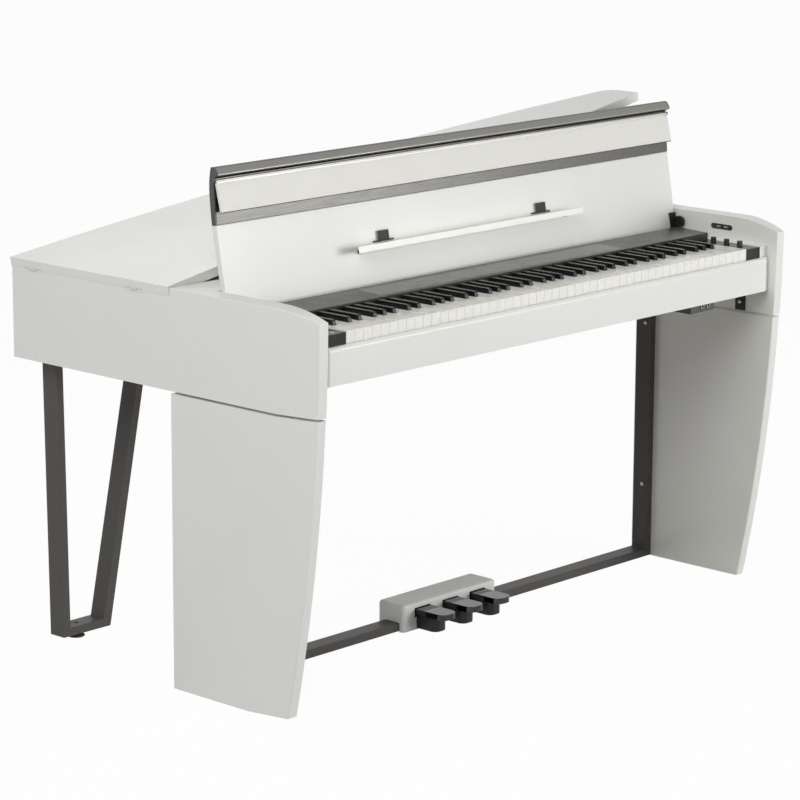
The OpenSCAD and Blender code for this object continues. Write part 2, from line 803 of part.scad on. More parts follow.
// Angle plates between legs and case, and the screws through the posts
module stand_fixings() color("#2E2D2B") centred() both_sides() {
    block(side_in - 4, side_in, 53, 78, base_z, base_z + 32);
    rod_x(side_in - 6, side_in - 3, 65, base_z + 19, 4);
    for (z = [foot_gap + 165, base_z - 60])
        rod_x(frame_x - tube_t - 2, frame_x - tube_t, frame_y + 14, z, 4);
}

// ---------- Pedals ----------

module pedal_box() color("#BEC4BE") centred() difference() {
    translate([-pedal_box_w / 2, pedal_box_y, 0]) linear_extrude(pedal_box_h)
        rounded_square(pedal_box_w, pedal_box_d, 9);
    translate([-pedal_box_w / 2 + pedal_box_wall, pedal_box_y + pedal_box_wall, -1])
        linear_extrude(pedal_box_h - pedal_box_wall + 1)
        rounded_square(pedal_box_w - 2 * pedal_box_wall, pedal_box_d - 2 * pedal_box_wall, 5);
    block(-pedal_box_w, pedal_box_w, frame_y, frame_y + tube_w, -1, foot_gap + tube_t);
    for (i = [-1, 0, 1]) block(i * pedal_pitch - pedal_w / 2 - 1, i * pedal_pitch + pedal_w / 2 + 1,
        pedal_box_y - 1, pedal_box_y + pedal_box_wall + 1, axle_z - 10, pedal_top + 1.5);
}

// Plan of a piece with a rounded nose, Y back from the nose
module nose_plan(w, d, r) {
    translate([r - w / 2, 0]) square([w - 2 * r, d]);
    translate([-w / 2, r]) square([w, d - r]);
    for (x = [r - w / 2, w / 2 - r]) translate([x, r]) circle(r);
}

// Pressed plate with a skirt, and the arm that turns on the axle
module pedal(i) color("#3A3836") centred() difference() {
    translate([i * pedal_pitch, 0, 0]) {
        difference() {
            translate([0, pedal_tip_y, pedal_top - pedal_skirt]) linear_extrude(pedal_skirt)
                nose_plan(pedal_w, frame_y + 4 - pedal_tip_y, pedal_nose_r);
            translate([0, pedal_tip_y + pedal_wall, pedal_top - pedal_skirt - 1])
                linear_extrude(pedal_skirt + 1 - pedal_sheet) nose_plan(pedal_w - 2 * pedal_wall,
                    pedal_box_y + 1.5 - pedal_tip_y - pedal_wall, pedal_nose_r - pedal_wall);
            block(-pedal_w, pedal_w, pedal_box_y - 30, axle_y, pedal_top - pedal_skirt - 1,
                pedal_top - pedal_skirt + 1.5);
        }
        block(-9, 9, frame_y, axle_y + 7, axle_z - 5, axle_z + 6);
    }
    rod_x(i * pedal_pitch - pedal_w, i * pedal_pitch + pedal_w, axle_y, axle_z, axle_r + run_gap);
}

module left_pedal() pedal(-1);

module middle_pedal() pedal(0);

module right_pedal() pedal(1);

// Fixed blocks under the pedals, which stop them
module pedal_blocks() color("#2A2A2A") centred() for (i = [-1, 0, 1])
    translate([i * pedal_pitch, 0, 0]) intersection() {
        translate([0, block_tip_y, 3]) linear_extrude(pedal_top)
            nose_plan(pedal_w - 2 * pedal_wall - 2, pedal_box_y - block_tip_y, block_nose_r);
        along_x(-pedal_w, pedal_w) polygon([[block_tip_y - 1, 0], [pedal_box_y, 0],
            [pedal_box_y, pedal_top - pedal_sheet - 6], [block_tip_y - 1, pedal_top - pedal_sheet - 10]]);
    }

module pedal_axle() color("#8C8C8A") centred()
    rod_x(-pedal_box_w / 2 + pedal_box_wall, pedal_box_w / 2 - pedal_box_wall, axle_y, axle_z,
        axle_r);

// ---------- Inside the case ----------

// Loudspeakers, face down over their holes in the tray
module woofers() color("#2C2C2C") centred() for (p = woofer_at) translate([p.x, p.y, tray_top])
    rotate_extrude($fn = 64) polygon([[0, 58], [32, 58], [32, 36], [38, 32], [woofer_r - 6, 4],
        [woofer_r, 4], [woofer_r, 0], [woofer_hole_r - 2, 0], [24, 24], [0, 30]]);

// Main board on its posts, the power supply and the mains inlet
module electronics() color("#2F6B45") centred() {
    translate(concat(circuit_at, tray_top)) {
        translate([0, 0, 6]) cube([180, 120, 1.6]);
        for (x = [8, 172], y = [8, 112]) translate([x, y, 0]) cylinder(r = 3, h = 6.5);
        translate([20, 30, 7]) cube([40, 40, 8]);
        translate([90, 20, 7]) cube([70, 70, 14]);
    }
    translate([circuit_at.x + 195, circuit_at.y + 10, tray_top]) cube([60, 100, 32]);
    translate([inlet_at.x, inlet_at.y, base_z + 1]) difference() {
        cube([inlet_w, inlet_d, board_t + 8]);
        translate([8, 6, -1]) cube([inlet_w - 16, inlet_d - 12, 14]);
    }
}

left_side_panel();
right_side_panel();
left_leg_panel();
right_leg_panel();
rear_rim();
keybed();
rear_tray();
keyslip();
top_board();
lid();
lid_hinge_leaves();
lid_hinge_plates();
lid_prop();
prop_bracket();
prop_pad();
fallboard_panel();
fallboard_profile();
fallboard_flap();
fallboard_brackets();
fallboard_pivots();
music_rest();
left_page_clip();
right_page_clip();
control_panel();
control_window();
left_cheek();
right_cheek();
volume_knob();
bass_knob();
treble_knob();
power_button();
port_bezel();
jack_box();
key_c4();
key_c_sharp4();
key_d4();
key_d_sharp4();
key_e4();
key_f4();
key_f_sharp4();
key_g4();
key_g_sharp4();
key_a4();
key_a_sharp4();
key_b4();
white_keys();
black_keys();
key_frame();
front_frame();
rear_leg();
rear_leveller();
stand_fixings();
pedal_box();
pedal_blocks();
left_pedal();
middle_pedal();
right_pedal();
pedal_axle();
woofers();
electronics();
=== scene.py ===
"""Looks of a digital piano on panel legs: rounded pieces, small modelled parts and finishes.

Everything is in metres in the part's own frame: X runs from the bass end to the treble end,
+Y to the back and Z up from the floor.
"""

import json
import logging
import math
from collections.abc import Callable, Iterable
from dataclasses import dataclass, field
from enum import Enum

import bmesh
import bpy
from mathutils import Matrix, Vector

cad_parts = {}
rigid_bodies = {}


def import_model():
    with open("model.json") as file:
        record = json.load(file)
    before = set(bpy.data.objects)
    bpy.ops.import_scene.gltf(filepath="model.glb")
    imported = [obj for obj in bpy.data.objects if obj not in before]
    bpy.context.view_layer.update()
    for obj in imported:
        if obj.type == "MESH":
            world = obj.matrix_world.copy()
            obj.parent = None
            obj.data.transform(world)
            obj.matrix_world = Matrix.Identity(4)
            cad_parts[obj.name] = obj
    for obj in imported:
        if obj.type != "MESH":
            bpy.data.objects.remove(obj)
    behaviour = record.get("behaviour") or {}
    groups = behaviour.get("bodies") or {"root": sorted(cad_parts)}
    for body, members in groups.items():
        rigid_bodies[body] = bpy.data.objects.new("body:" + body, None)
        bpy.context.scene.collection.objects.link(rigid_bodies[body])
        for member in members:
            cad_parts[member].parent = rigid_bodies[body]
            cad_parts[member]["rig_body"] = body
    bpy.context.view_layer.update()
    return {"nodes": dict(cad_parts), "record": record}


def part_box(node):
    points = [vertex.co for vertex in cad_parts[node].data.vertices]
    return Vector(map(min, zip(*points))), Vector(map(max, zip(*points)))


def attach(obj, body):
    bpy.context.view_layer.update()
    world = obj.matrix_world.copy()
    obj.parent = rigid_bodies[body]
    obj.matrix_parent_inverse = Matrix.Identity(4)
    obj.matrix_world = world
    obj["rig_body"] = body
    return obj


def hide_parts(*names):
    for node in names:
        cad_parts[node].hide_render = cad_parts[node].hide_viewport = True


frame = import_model()

Edge = bmesh.types.BMEdge
Shape = bmesh.types.BMesh
Node = bpy.types.Node
Socket = bpy.types.NodeSocket
Tree = bpy.types.NodeTree

MM = 0.001
FACE_TOP = Matrix.Identity(3)
FACE_FRONT = Matrix.Rotation(math.pi / 2, 3, "X")
FACE_TREBLE = Matrix.Rotation(math.pi / 2, 3, "Y")
FACE_BASS = Matrix.Rotation(-math.pi / 2, 3, "Y")
TO_TREBLE = Vector((1, 0, 0))
TO_BASS = Vector((-1, 0, 0))
MERGE = 0.01 * MM
SEAM_EDGE_MM = 0.8
SEAM_BAND = 3.0 * MM
FLAT = math.radians(0.15)
SHARP = math.radians(28)
KNOBS = ("volume_knob", "bass_knob", "treble_knob")
log = logging.getLogger("piano")


# ---------- Names ----------


class Slot(Enum):
    """Material slots of the record that pieces take their finish from."""

    WHITE_LACQUER = "white_lacquer"
    RAW_BOARD = "raw_board"
    WHITE_PLASTIC = "white_plastic"
    REST_METAL = "rest_metal"
    DARK_METAL = "dark_metal"
    BLACK_METAL = "black_metal"
    HINGE_STEEL = "hinge_steel"
    PAINTED_STEEL = "painted_steel"
    BLACK_RUBBER = "black_rubber"
    PANEL_PLASTIC = "panel_plastic"
    WINDOW_PLASTIC = "window_plastic"
    KNOB_PLASTIC = "knob_plastic"
    BUTTON_PLASTIC = "button_plastic"
    IVORY_PLASTIC = "ivory_plastic"
    BLACK_PLASTIC = "black_plastic"
    FRAME_PLASTIC = "frame_plastic"
    BOX_PLASTIC = "box_plastic"
    PEDAL_CHROME = "pedal_chrome"
    SPEAKER_METAL = "speaker_metal"
    CIRCUIT = "circuit"


class Axis(Enum):
    """Direction of the long way of a grain or a brushing."""

    X = 0
    Y = 1
    Z = 2


# ---------- Shader helpers ----------


def linear(hex_code: str) -> tuple[float, float, float, float]:
    """Turns an sRGB colour into the linear one that a shader takes.

    Args:
        hex_code: The colour as six hexadecimal digits.

    Returns:
        Red, green, blue and alpha.
    """
    parts = (int(hex_code[i : i + 2], 16) / 255 for i in (0, 2, 4))
    curve = (c / 12.92 if c <= 0.04045 else ((c + 0.055) / 1.055) ** 2.4 for c in parts)
    return (*curve, 1.0)


def set_inputs(node: Node, inputs: dict) -> None:
    """Sets or links a node's inputs.

    Args:
        node: The node.
        inputs: Value or output socket for each input, by the input's name or number.
    """
    for key, value in inputs.items():
        if isinstance(value, Socket):
            node.id_data.links.new(value, node.inputs[key])
        else:
            node.inputs[key].default_value = value


def add_node(tree: Tree, kind: str, inputs: dict | None = None, **settings) -> Node:
    """Adds one shader node.

    Args:
        tree: Node tree that gets the node.
        kind: Type name of the node.
        inputs: What set_inputs() takes.
        settings: The node's own options.

    Returns:
        The new node.
    """
    node = tree.nodes.new(kind)
    for name, value in settings.items():
        setattr(node, name, value)
    set_inputs(node, inputs or {})
    return node


def per_metre(size_mm: float) -> float:
    """Noise scale at which one blob measures about this many millimetres."""
    return 1 / (size_mm * MM)


# ---------- Finishes ----------


@dataclass(frozen=True)
class Shader:
    """A material's nodes, its Principled BSDF and its object coordinates."""

    tree: Tree
    surface: Node
    place: Socket

    def stretched(self, scale: Iterable[float]) -> Socket:
        """Object coordinates, scaled along each axis."""
        return add_node(self.tree, "ShaderNodeMapping",
                        {"Vector": self.place, "Scale": scale}).outputs[0]

    def pattern(self, kind: str, size_mm: float, inputs: dict | None = None,
                **settings: str) -> Socket:
        """Adds a texture.

        Args:
            kind: Type name of its node.
            size_mm: Size of one blob or cell.
            inputs: The node's other inputs, by name.
            settings: The node's own options.

        Returns:
            Its first output.
        """
        given = {"Vector": self.place, "Scale": per_metre(size_mm), **(inputs or {})}
        return add_node(self.tree, kind, given, **settings).outputs[0]

    def noise(self, size_mm: float, detail: float = 2.0, **inputs: Socket | float) -> Socket:
        """Adds a noise texture of this blob size and detail, and gives its grey output."""
        return self.pattern("ShaderNodeTexNoise", size_mm, {"Detail": detail, **inputs})


@dataclass(frozen=True)
class Finish:
    """A surface finish, built once as a material and shared by its pieces."""

    name: str
    colour: str
    tint: str
    roughness: float
    specular: float = field(default=0.5, kw_only=True)

    def material(self) -> bpy.types.Material:
        """Makes the finish's material when it is first asked for.

        Returns:
            The material.
        """
        made = bpy.data.materials.get(self.name)
        if made is None:
            made = bpy.data.materials.new(self.name)
            made.use_nodes = True
            tree = made.node_tree
            surface = tree.nodes["Principled BSDF"]
            set_inputs(surface, {"Roughness": self.roughness,
                                 "Specular IOR Level": self.specular})
            place = add_node(tree, "ShaderNodeTexCoord").outputs["Object"]
            self.dress(Shader(tree, surface, place))
        return made

    def dress(self, shader: Shader) -> None:
        """Adds what sets this finish apart to its shader."""
        raise NotImplementedError

    def mottle(self, shader: Shader, pattern: Socket, low: float = 0.35,
               high: float = 0.65) -> None:
        """Lets the colour wander between the finish's colour and its tint.

        Args:
            shader: The material's shader.
            pattern: Grey pattern that says where the tint lies.
            low: Pattern value that is all colour.
            high: Pattern value that is all tint.
        """
        amount = add_node(shader.tree, "ShaderNodeMapRange",
                          {"Value": pattern, "From Min": low, "From Max": high})
        colours = {"A": linear(self.colour), "B": linear(self.tint)}
        mix = add_node(shader.tree, "ShaderNodeMix", {"Factor": amount.outputs[0], **colours},
                       data_type="RGBA")
        set_inputs(shader.surface, {"Base Color": mix.outputs[2]})

    def emboss(self, shader: Shader, pattern: Socket, depth_mm: float) -> None:
        """Raises a pattern as a fine relief.

        Args:
            shader: The material's shader.
            pattern: Grey pattern of the heights.
            depth_mm: Height of its white above its black.
        """
        bump = add_node(shader.tree, "ShaderNodeBump",
                        {"Height": pattern, "Distance": depth_mm * MM, "Strength": 1.0})
        set_inputs(shader.surface, {"Normal": bump.outputs["Normal"]})

    def vary_roughness(self, shader: Shader, pattern: Socket, spread: float) -> None:
        """Lets the roughness wander about the finish's own.

        Args:
            shader: The material's shader.
            pattern: Grey pattern that it follows.
            spread: How far it goes to either side.
        """
        rough = add_node(shader.tree, "ShaderNodeMapRange",
                         {"Value": pattern, "From Min": 0.3, "From Max": 0.7,
                          "To Min": self.roughness - spread, "To Max": self.roughness + spread})
        set_inputs(shader.surface, {"Roughness": rough.outputs[0]})


@dataclass(frozen=True)
class SatinLacquer(Finish):
    """Sprayed polyurethane lacquer on board: a soft, even sheen with a trace of orange peel."""

    peel_mm: float = 2.2
    peel_depth_mm: float = 0.006
    drift_mm: float = 260
    coat: float = 0.25
    coat_roughness: float = 0.22

    def dress(self, shader: Shader) -> None:
        """Adds slow colour drift, orange peel and a thin clear coat.

        Args:
            shader: The material's shader.
        """
        drift = shader.noise(self.drift_mm)
        self.mottle(shader, drift)
        self.emboss(shader, shader.noise(self.peel_mm), self.peel_depth_mm)
        self.vary_roughness(shader, drift, 0.03)
        set_inputs(shader.surface, {"Coat Weight": self.coat,
                                    "Coat Roughness": self.coat_roughness})


@dataclass(frozen=True)
class MouldedPlastic(Finish):
    """Injection-moulded ABS with a spark-eroded grain, drawn somewhat coarse so that it shows."""

    grain_mm: float = 0.9
    grain_depth_mm: float = 0.03
    stretch: Axis | None = None
    squeeze: float = 0.06
    cloud_mm: float = 35

    def dress(self, shader: Shader) -> None:
        """Adds the mould's grain, drawn out along an axis where the tool was polished that way.

        Args:
            shader: The material's shader.
        """
        scale = [1.0, 1.0, 1.0]
        if self.stretch is not None:
            scale[self.stretch.value] = self.squeeze
        grain = shader.noise(self.grain_mm, 3.0, Vector=shader.stretched(scale))
        self.mottle(shader, grain)
        self.emboss(shader, grain, self.grain_depth_mm)
        self.vary_roughness(shader, shader.noise(self.cloud_mm), 0.04)


@dataclass(frozen=True)
class KeyPlastic(MouldedPlastic):
    """Acrylic key top: smooth, a little translucent, with a faint grain along the key."""

    glow: float = 0.08
    coat: float = 0.3
    scatter_mm: float = 2
    coat_roughness: float = 0.12

    def dress(self, shader: Shader) -> None:
        """Adds the grain and a shallow scatter under the skin.

        Args:
            shader: The material's shader.
        """
        super().dress(shader)
        set_inputs(shader.surface, {
            "Subsurface Weight": self.glow, "Subsurface Radius": (1.0, 0.8, 0.6),
            "Subsurface Scale": self.scatter_mm * MM, "Coat Weight": self.coat,
            "Coat Roughness": self.coat_roughness})


@dataclass(frozen=True)
class PowderCoat(Finish):
    """Baked powder on steel: a pebbled, flecked skin, drawn coarse so that it shows."""

    pebble_mm: float = 1.3
    pebble_depth_mm: float = 0.05
    flake_mm: float = 0.8

    def dress(self, shader: Shader) -> None:
        """Adds pebbling and flakes.

        Args:
            shader: The material's shader.
        """
        pebble = shader.pattern("ShaderNodeTexVoronoi", self.pebble_mm, feature="SMOOTH_F1")
        self.mottle(shader, shader.noise(self.flake_mm, 1.0))
        self.emboss(shader, pebble, self.pebble_depth_mm)


@dataclass(frozen=True)
class BrushedMetal(Finish):
    """Brushed metal, anodised or plated: scratches along one axis stretch its highlights.

    The scratches are drawn coarser than real ones, so that they show.
    """

    along: Axis = Axis.X
    scratch_mm: float = 0.5
    scratch_depth_mm: float = 0.01
    metallic: float = 0.9
    squeeze: float = 0.01

    def dress(self, shader: Shader) -> None:
        """Adds scratches as colour, relief and roughness.

        Args:
            shader: The material's shader.
        """
        scale = [1.0, 1.0, 1.0]
        scale[self.along.value] = self.squeeze
        scratch = shader.noise(self.scratch_mm, 4.0, Vector=shader.stretched(scale))
        self.mottle(shader, scratch)
        self.emboss(shader, scratch, self.scratch_depth_mm)
        self.vary_roughness(shader, scratch, 0.06)
        set_inputs(shader.surface, {"Metallic": self.metallic})


@dataclass(frozen=True)
class PlatedMetal(Finish):
    """Polished plating, as on pedals: mirror-like, dulled a little where it is handled."""

    smudge_mm: float = 14

    def dress(self, shader: Shader) -> None:
        """Adds soft smudges to the mirror.

        Args:
            shader: The material's shader.
        """
        smudge = shader.noise(self.smudge_mm, 3.0)
        self.mottle(shader, smudge)
        self.vary_roughness(shader, smudge, 0.05)
        set_inputs(shader.surface, {"Metallic": 1.0})


@dataclass(frozen=True)
class Rubber(Finish):
    """Moulded rubber: matt, with dust in its pores."""

    specular: float = field(default=0.25, kw_only=True)
    pore_mm: float = 1.6
    pore_depth_mm: float = 0.08

    def dress(self, shader: Shader) -> None:
        """Adds pores and dust.

        Args:
            shader: The material's shader.
        """
        pores = shader.noise(self.pore_mm, 4.0)
        self.mottle(shader, pores, 0.45, 0.75)
        self.emboss(shader, pores, self.pore_depth_mm)


@dataclass(frozen=True)
class FibreBoard(Finish):
    """Bare fibreboard: pressed fibres in two browns, quite matt."""

    fibre_mm: float = 2.5
    fuzz_mm: float = 0.06

    def dress(self, shader: Shader) -> None:
        """Adds short fibres and their fuzz.

        Args:
            shader: The material's shader.
        """
        flat = shader.stretched((0.35, 1.0, 1.0))
        fibre = shader.noise(self.fibre_mm, 6.0, Vector=flat, Roughness=0.7)
        self.mottle(shader, fibre)
        self.emboss(shader, fibre, self.fuzz_mm)


@dataclass(frozen=True)
class CircuitBoard(Finish):
    """Glass-fibre board under green solder mask, with paler copper runs beneath it."""

    run_mm: float = 5
    copper_mm: float = 0.03

    def dress(self, shader: Shader) -> None:
        """Adds square copper runs.

        Args:
            shader: The material's shader.
        """
        runs = shader.pattern("ShaderNodeTexVoronoi", self.run_mm, distance="MANHATTAN",
                              feature="DISTANCE_TO_EDGE")
        self.mottle(shader, runs, 0.04, 0.08)
        self.emboss(shader, runs, self.copper_mm)


LACQUER = SatinLacquer("satin_white_lacquer", "ECEDE8", "E9EAE4", 0.34)
FINISHES: dict[Slot, Finish] = {
    Slot.WHITE_LACQUER: LACQUER,
    Slot.RAW_BOARD: FibreBoard("bare_fibreboard", "8C7A63", "6E5C48", 0.85),
    Slot.WHITE_PLASTIC: MouldedPlastic("white_moulded_abs", "E8E7E1", "E4E3DC", 0.4, 0.8, 0.006),
    Slot.REST_METAL: BrushedMetal("painted_aluminium_rest", "EDEEE8", "E4E5DF", 0.4, metallic=0.1),
    Slot.DARK_METAL: PowderCoat("powder_coated_steel", "5F5C59", "4D4A47", 0.42, specular=0.15),
    Slot.BLACK_METAL: PowderCoat("black_powder_coat", "2B2A28", "1F1E1D", 0.45, specular=0.2),
    Slot.HINGE_STEEL: BrushedMetal("plated_hinge_steel", "C4C3BE", "ACABA6", 0.32, along=Axis.Y),
    Slot.PAINTED_STEEL: SatinLacquer("white_painted_steel", "E6E5DF", "E2E1DA", 0.4, 1.4, 0.01),
    Slot.BLACK_RUBBER: Rubber("black_rubber", "1E1E1D", "3A3936", 0.8),
    Slot.PANEL_PLASTIC: MouldedPlastic("charcoal_moulded_abs", "3B3A39", "353433", 0.3, 0.9, 0.012),
    Slot.WINDOW_PLASTIC: MouldedPlastic("smoked_acrylic_window", "6A6965", "64635F", 0.2, 3.0,
                                        0.003),
    Slot.KNOB_PLASTIC: MouldedPlastic("black_knob_abs", "232322", "1C1C1B", 0.42),
    Slot.BUTTON_PLASTIC: MouldedPlastic("silver_painted_button", "B9B9B4", "ACACA7", 0.35),
    Slot.IVORY_PLASTIC: KeyPlastic("ivory_white_acrylic", "F4F3EC", "F1F0E8", 0.28, 1.4, 0.004,
                                   Axis.Y, glow=0.04),
    Slot.BLACK_PLASTIC: KeyPlastic("ebony_black_phenolic", "121211", "1A1918", 0.2, 0.7, 0.008,
                                   Axis.Y, glow=0.0, coat=0.05, specular=0.16),
    Slot.FRAME_PLASTIC: MouldedPlastic("grey_moulded_frame", "8F8F8B", "868682", 0.5),
    Slot.BOX_PLASTIC: MouldedPlastic("light_grey_pedal_box_abs", "E8ECE8", "E0E4E0", 0.46, 1.1,
                                     0.03),
    Slot.PEDAL_CHROME: PlatedMetal("black_chrome_plating", "48474A", "3C3B3E", 0.06),
    Slot.SPEAKER_METAL: Rubber("pressed_paper_and_steel", "2A2A2A", "363634", 0.6),
    Slot.CIRCUIT: CircuitBoard("green_solder_mask", "1F5A38", "2F7A4C", 0.35),
}
PROFILE_METAL = BrushedMetal("dark_anodised_aluminium", "5A5956", "4F4E4C", 0.28, metallic=1.0)
# Anodised aluminium made brighter than the profile's own metal; the extra brightness is a painted
# reflection of the lamps' sheen on the upper profile.
RAIL_METAL_PAINTED_SHEEN = BrushedMetal("rail_aluminium_painted_sheen", "8A8985", "7D7C78", 0.26, metallic=1.0)
BEAD_METAL = BrushedMetal("satin_silver_aluminium", "B4B4AE", "A8A8A2", 0.4, metallic=0.6)
CHROME = PlatedMetal("bright_chrome_plating", "C9C9C6", "BDBDBA", 0.12)
ZINC = BrushedMetal("bright_zinc_plate", "A9A9A4", "97968F", 0.34, scratch_mm=0.8)
PAPER = FibreBoard("pressed_paper_cone", "2E2D2B", "3B3936", 0.8)
BLOCK_PLASTIC = MouldedPlastic("charcoal_block_abs", "1E1E1D", "282726", 0.3, 1.2, 0.03,
                               specular=0.25)
CHEEK_PLASTIC = MouldedPlastic("glossy_cheek_abs", "222120", "1D1C1B", 0.14, 1.0, 0.004,
                               specular=0.3)
PRINT_INK = MouldedPlastic("pale_printed_ink", "C9C9C4", "BEBEB9", 0.5, 0.6, 0.004)


# ---------- Mesh helpers ----------


def merged(node: str) -> Shape:
    """Copies a CAD node's mesh and joins its loose triangles into flat faces.

    Args:
        node: Name of the CAD node.

    Returns:
        The copy.
    """
    shape = bmesh.new()
    shape.from_mesh(frame["nodes"][node].data)
    bmesh.ops.remove_doubles(shape, verts=shape.verts, dist=MERGE)
    bmesh.ops.dissolve_limit(shape, angle_limit=FLAT, verts=shape.verts, edges=shape.edges,
                             use_dissolve_boundaries=False)
    return shape


def in_mm(points: Iterable[tuple[float, float]]) -> list[tuple[float, float]]:
    """Turns an outline in millimetres into one in metres."""
    return [(a * MM, b * MM) for a, b in points]


def put_up(name: str, data: bpy.types.ID) -> bpy.types.Object:
    """Makes an object of a mesh, lamp or camera and links it to the scene.

    Args:
        name: Name of the object.
        data: The mesh, lamp or camera.

    Returns:
        The object.
    """
    made = bpy.data.objects.new(name, data)
    bpy.context.scene.collection.objects.link(made)
    return made


def foot_of(node: str) -> Vector:
    """Point on the floor below the middle of a CAD node."""
    low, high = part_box(node)
    return Vector(((low.x + high.x) / 2, (low.y + high.y) / 2, 0))


def edge_middle(edge: Edge) -> Vector:
    """Point half-way along an edge."""
    return (edge.verts[0].co + edge.verts[1].co) / 2


def finished(shape: Shape, name: str, slot: Slot, node: str, replaced: Iterable[str] = (),
             width: float = 0.0, rule: Callable[[Edge], float] | None = None,
             segments: int = 3, finish: Finish | None = None) -> bpy.types.Object:
    """Turns a bmesh into a piece with rounded edges, a finish and a body to ride on.

    Args:
        shape: The mesh, which is used up.
        name: Name of the piece.
        slot: Material slot of its finish.
        node: CAD node whose body it moves with.
        replaced: CAD nodes that it stands for.
        width: Greatest width of the edges' rounding, or 0 for none.
        rule: Share of that width that a sharp edge gets; without it, each gets all of it.
        segments: Steps across the rounding.
        finish: Finish to use in place of the slot's own.

    Returns:
        The piece.
    """
    if width > 0:
        weight = shape.edges.layers.float.new("bevel_weight_edge")
        for edge in shape.edges:
            if edge.is_manifold and edge.calc_face_angle(0) > SHARP:
                edge[weight] = 1.0 if rule is None else rule(edge)
    mesh = bpy.data.meshes.new(name)
    shape.to_mesh(mesh)
    shape.free()
    mesh.shade_smooth()
    mesh.set_sharp_from_angle(angle=SHARP)
    piece = put_up(name, mesh)
    mesh.materials.append((finish or FINISHES[slot]).material())
    if width > 0:
        rounding = piece.modifiers.new("rounded_edges", "BEVEL")
        rounding.limit_method = "WEIGHT"
        rounding.width = width
        rounding.segments = segments
        rounding.use_clamp_overlap = True
    smooth = piece.modifiers.new("flat_faces_stay_flat", "WEIGHTED_NORMAL")
    smooth.keep_sharp = width == 0
    smooth.weight = 90
    body = frame["nodes"][node]["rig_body"]
    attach(piece, body)
    if replaced:
        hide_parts(*replaced)
    log.info("%s: %d faces", piece.name, len(mesh.polygons))
    return piece


def rounded(node: str, slot: Slot, width_mm: float, **options) -> bpy.types.Object:
    """Stands a round-edged copy in the place of a CAD node.

    Args:
        node: The CAD node.
        slot: Material slot of its finish.
        width_mm: Greatest width of the rounding, in millimetres.
        options: What else finished() takes.

    Returns:
        The piece.
    """
    return finished(merged(node), f"{node}_finished", slot, node, [node],
                    width_mm * MM, **options)


def cut_off(shape: Shape, point: Vector, away: Vector) -> Shape:
    """Cuts a shape at a plane, keeps the part behind it and closes the cut.

    Args:
        shape: The mesh, which is changed.
        point: A point of the plane.
        away: Direction of the part that goes.

    Returns:
        The same mesh.
    """
    parts = [*shape.verts, *shape.edges, *shape.faces]
    found = bmesh.ops.bisect_plane(shape, geom=parts, dist=MERGE / 10, plane_co=point,
                                   plane_no=away, clear_outer=True)
    rim = [e for e in found["geom_cut"] if isinstance(e, Edge)]
    bmesh.ops.edgeloop_fill(shape, edges=rim)
    return shape


def joint_place(name: str) -> Vector:
    """Point that a hinge of the record turns about."""
    joints = frame["record"]["behaviour"]["joints"]
    return Vector(next(j["pos_m"] for j in joints if j["name"] == name))


def lathed(outline: Iterable[tuple[float, float]], centre: Vector, turn: Matrix | None = None,
           steps: int = 32, closed: bool = False) -> Shape:
    """Spins an outline of radius and height about an upright axis.

    Args:
        outline: Radius and height of each point, from the axis at one end to the axis at the other.
        centre: Where the outline's foot stands.
        turn: Turn of the axis away from upright.
        steps: Steps round the axis.
        closed: Whether the outline is a ring clear of the axis, whose last point joins its first.

    Returns:
        The closed shape.
    """
    shape = bmesh.new()
    points = [shape.verts.new((r, 0, z)) for r, z in outline]
    follow = points[1:] + points[:1] if closed else points[1:]
    edges = [shape.edges.new(pair) for pair in zip(points, follow)]
    bmesh.ops.spin(shape, geom=points + edges, cent=(0, 0, 0), axis=(0, 0, 1), angle=math.tau,
                   steps=steps, use_merge=True)
    bmesh.ops.remove_doubles(shape, verts=shape.verts, dist=MERGE)
    bmesh.ops.recalc_face_normals(shape, faces=shape.faces)
    place = Matrix.Translation(centre) @ (turn.to_4x4() if turn else Matrix.Identity(4))
    bmesh.ops.transform(shape, matrix=place, verts=shape.verts)
    return shape


def cuboid(low: Vector, high: Vector) -> Shape:
    """Makes a box between two corners.

    Args:
        low: The lowest corner.
        high: The highest corner.

    Returns:
        The box.
    """
    shape = bmesh.new()
    size = high - low
    place = Matrix.Translation((low + high) / 2) @ Matrix.Diagonal((*size, 1))
    bmesh.ops.create_cube(shape, size=1, matrix=place)
    return shape


def add_screw(name: str, place: Vector, turn: Matrix, radius_mm: float, node: str) -> None:
    """Adds a domed screw head with a hexagon socket.

    Args:
        name: Name of the piece.
        place: Middle of the head's foot.
        turn: Turn that points the head away from the surface.
        radius_mm: Radius of the head.
        node: CAD node whose body it moves with.
    """
    r = radius_mm * MM
    socket = 0.45 * r
    outline = [(0, 0), (r, 0), (r, 0.12 * r), (0.86 * r, 0.32 * r), (0.62 * r, 0.44 * r),
               (socket, 0.46 * r), (socket, 0.16 * r), (0, 0.12 * r)]
    finished(lathed(outline, place, turn, steps=24), name, Slot.BLACK_METAL, node, finish=ZINC)


# ---------- Sub-assemblies ----------


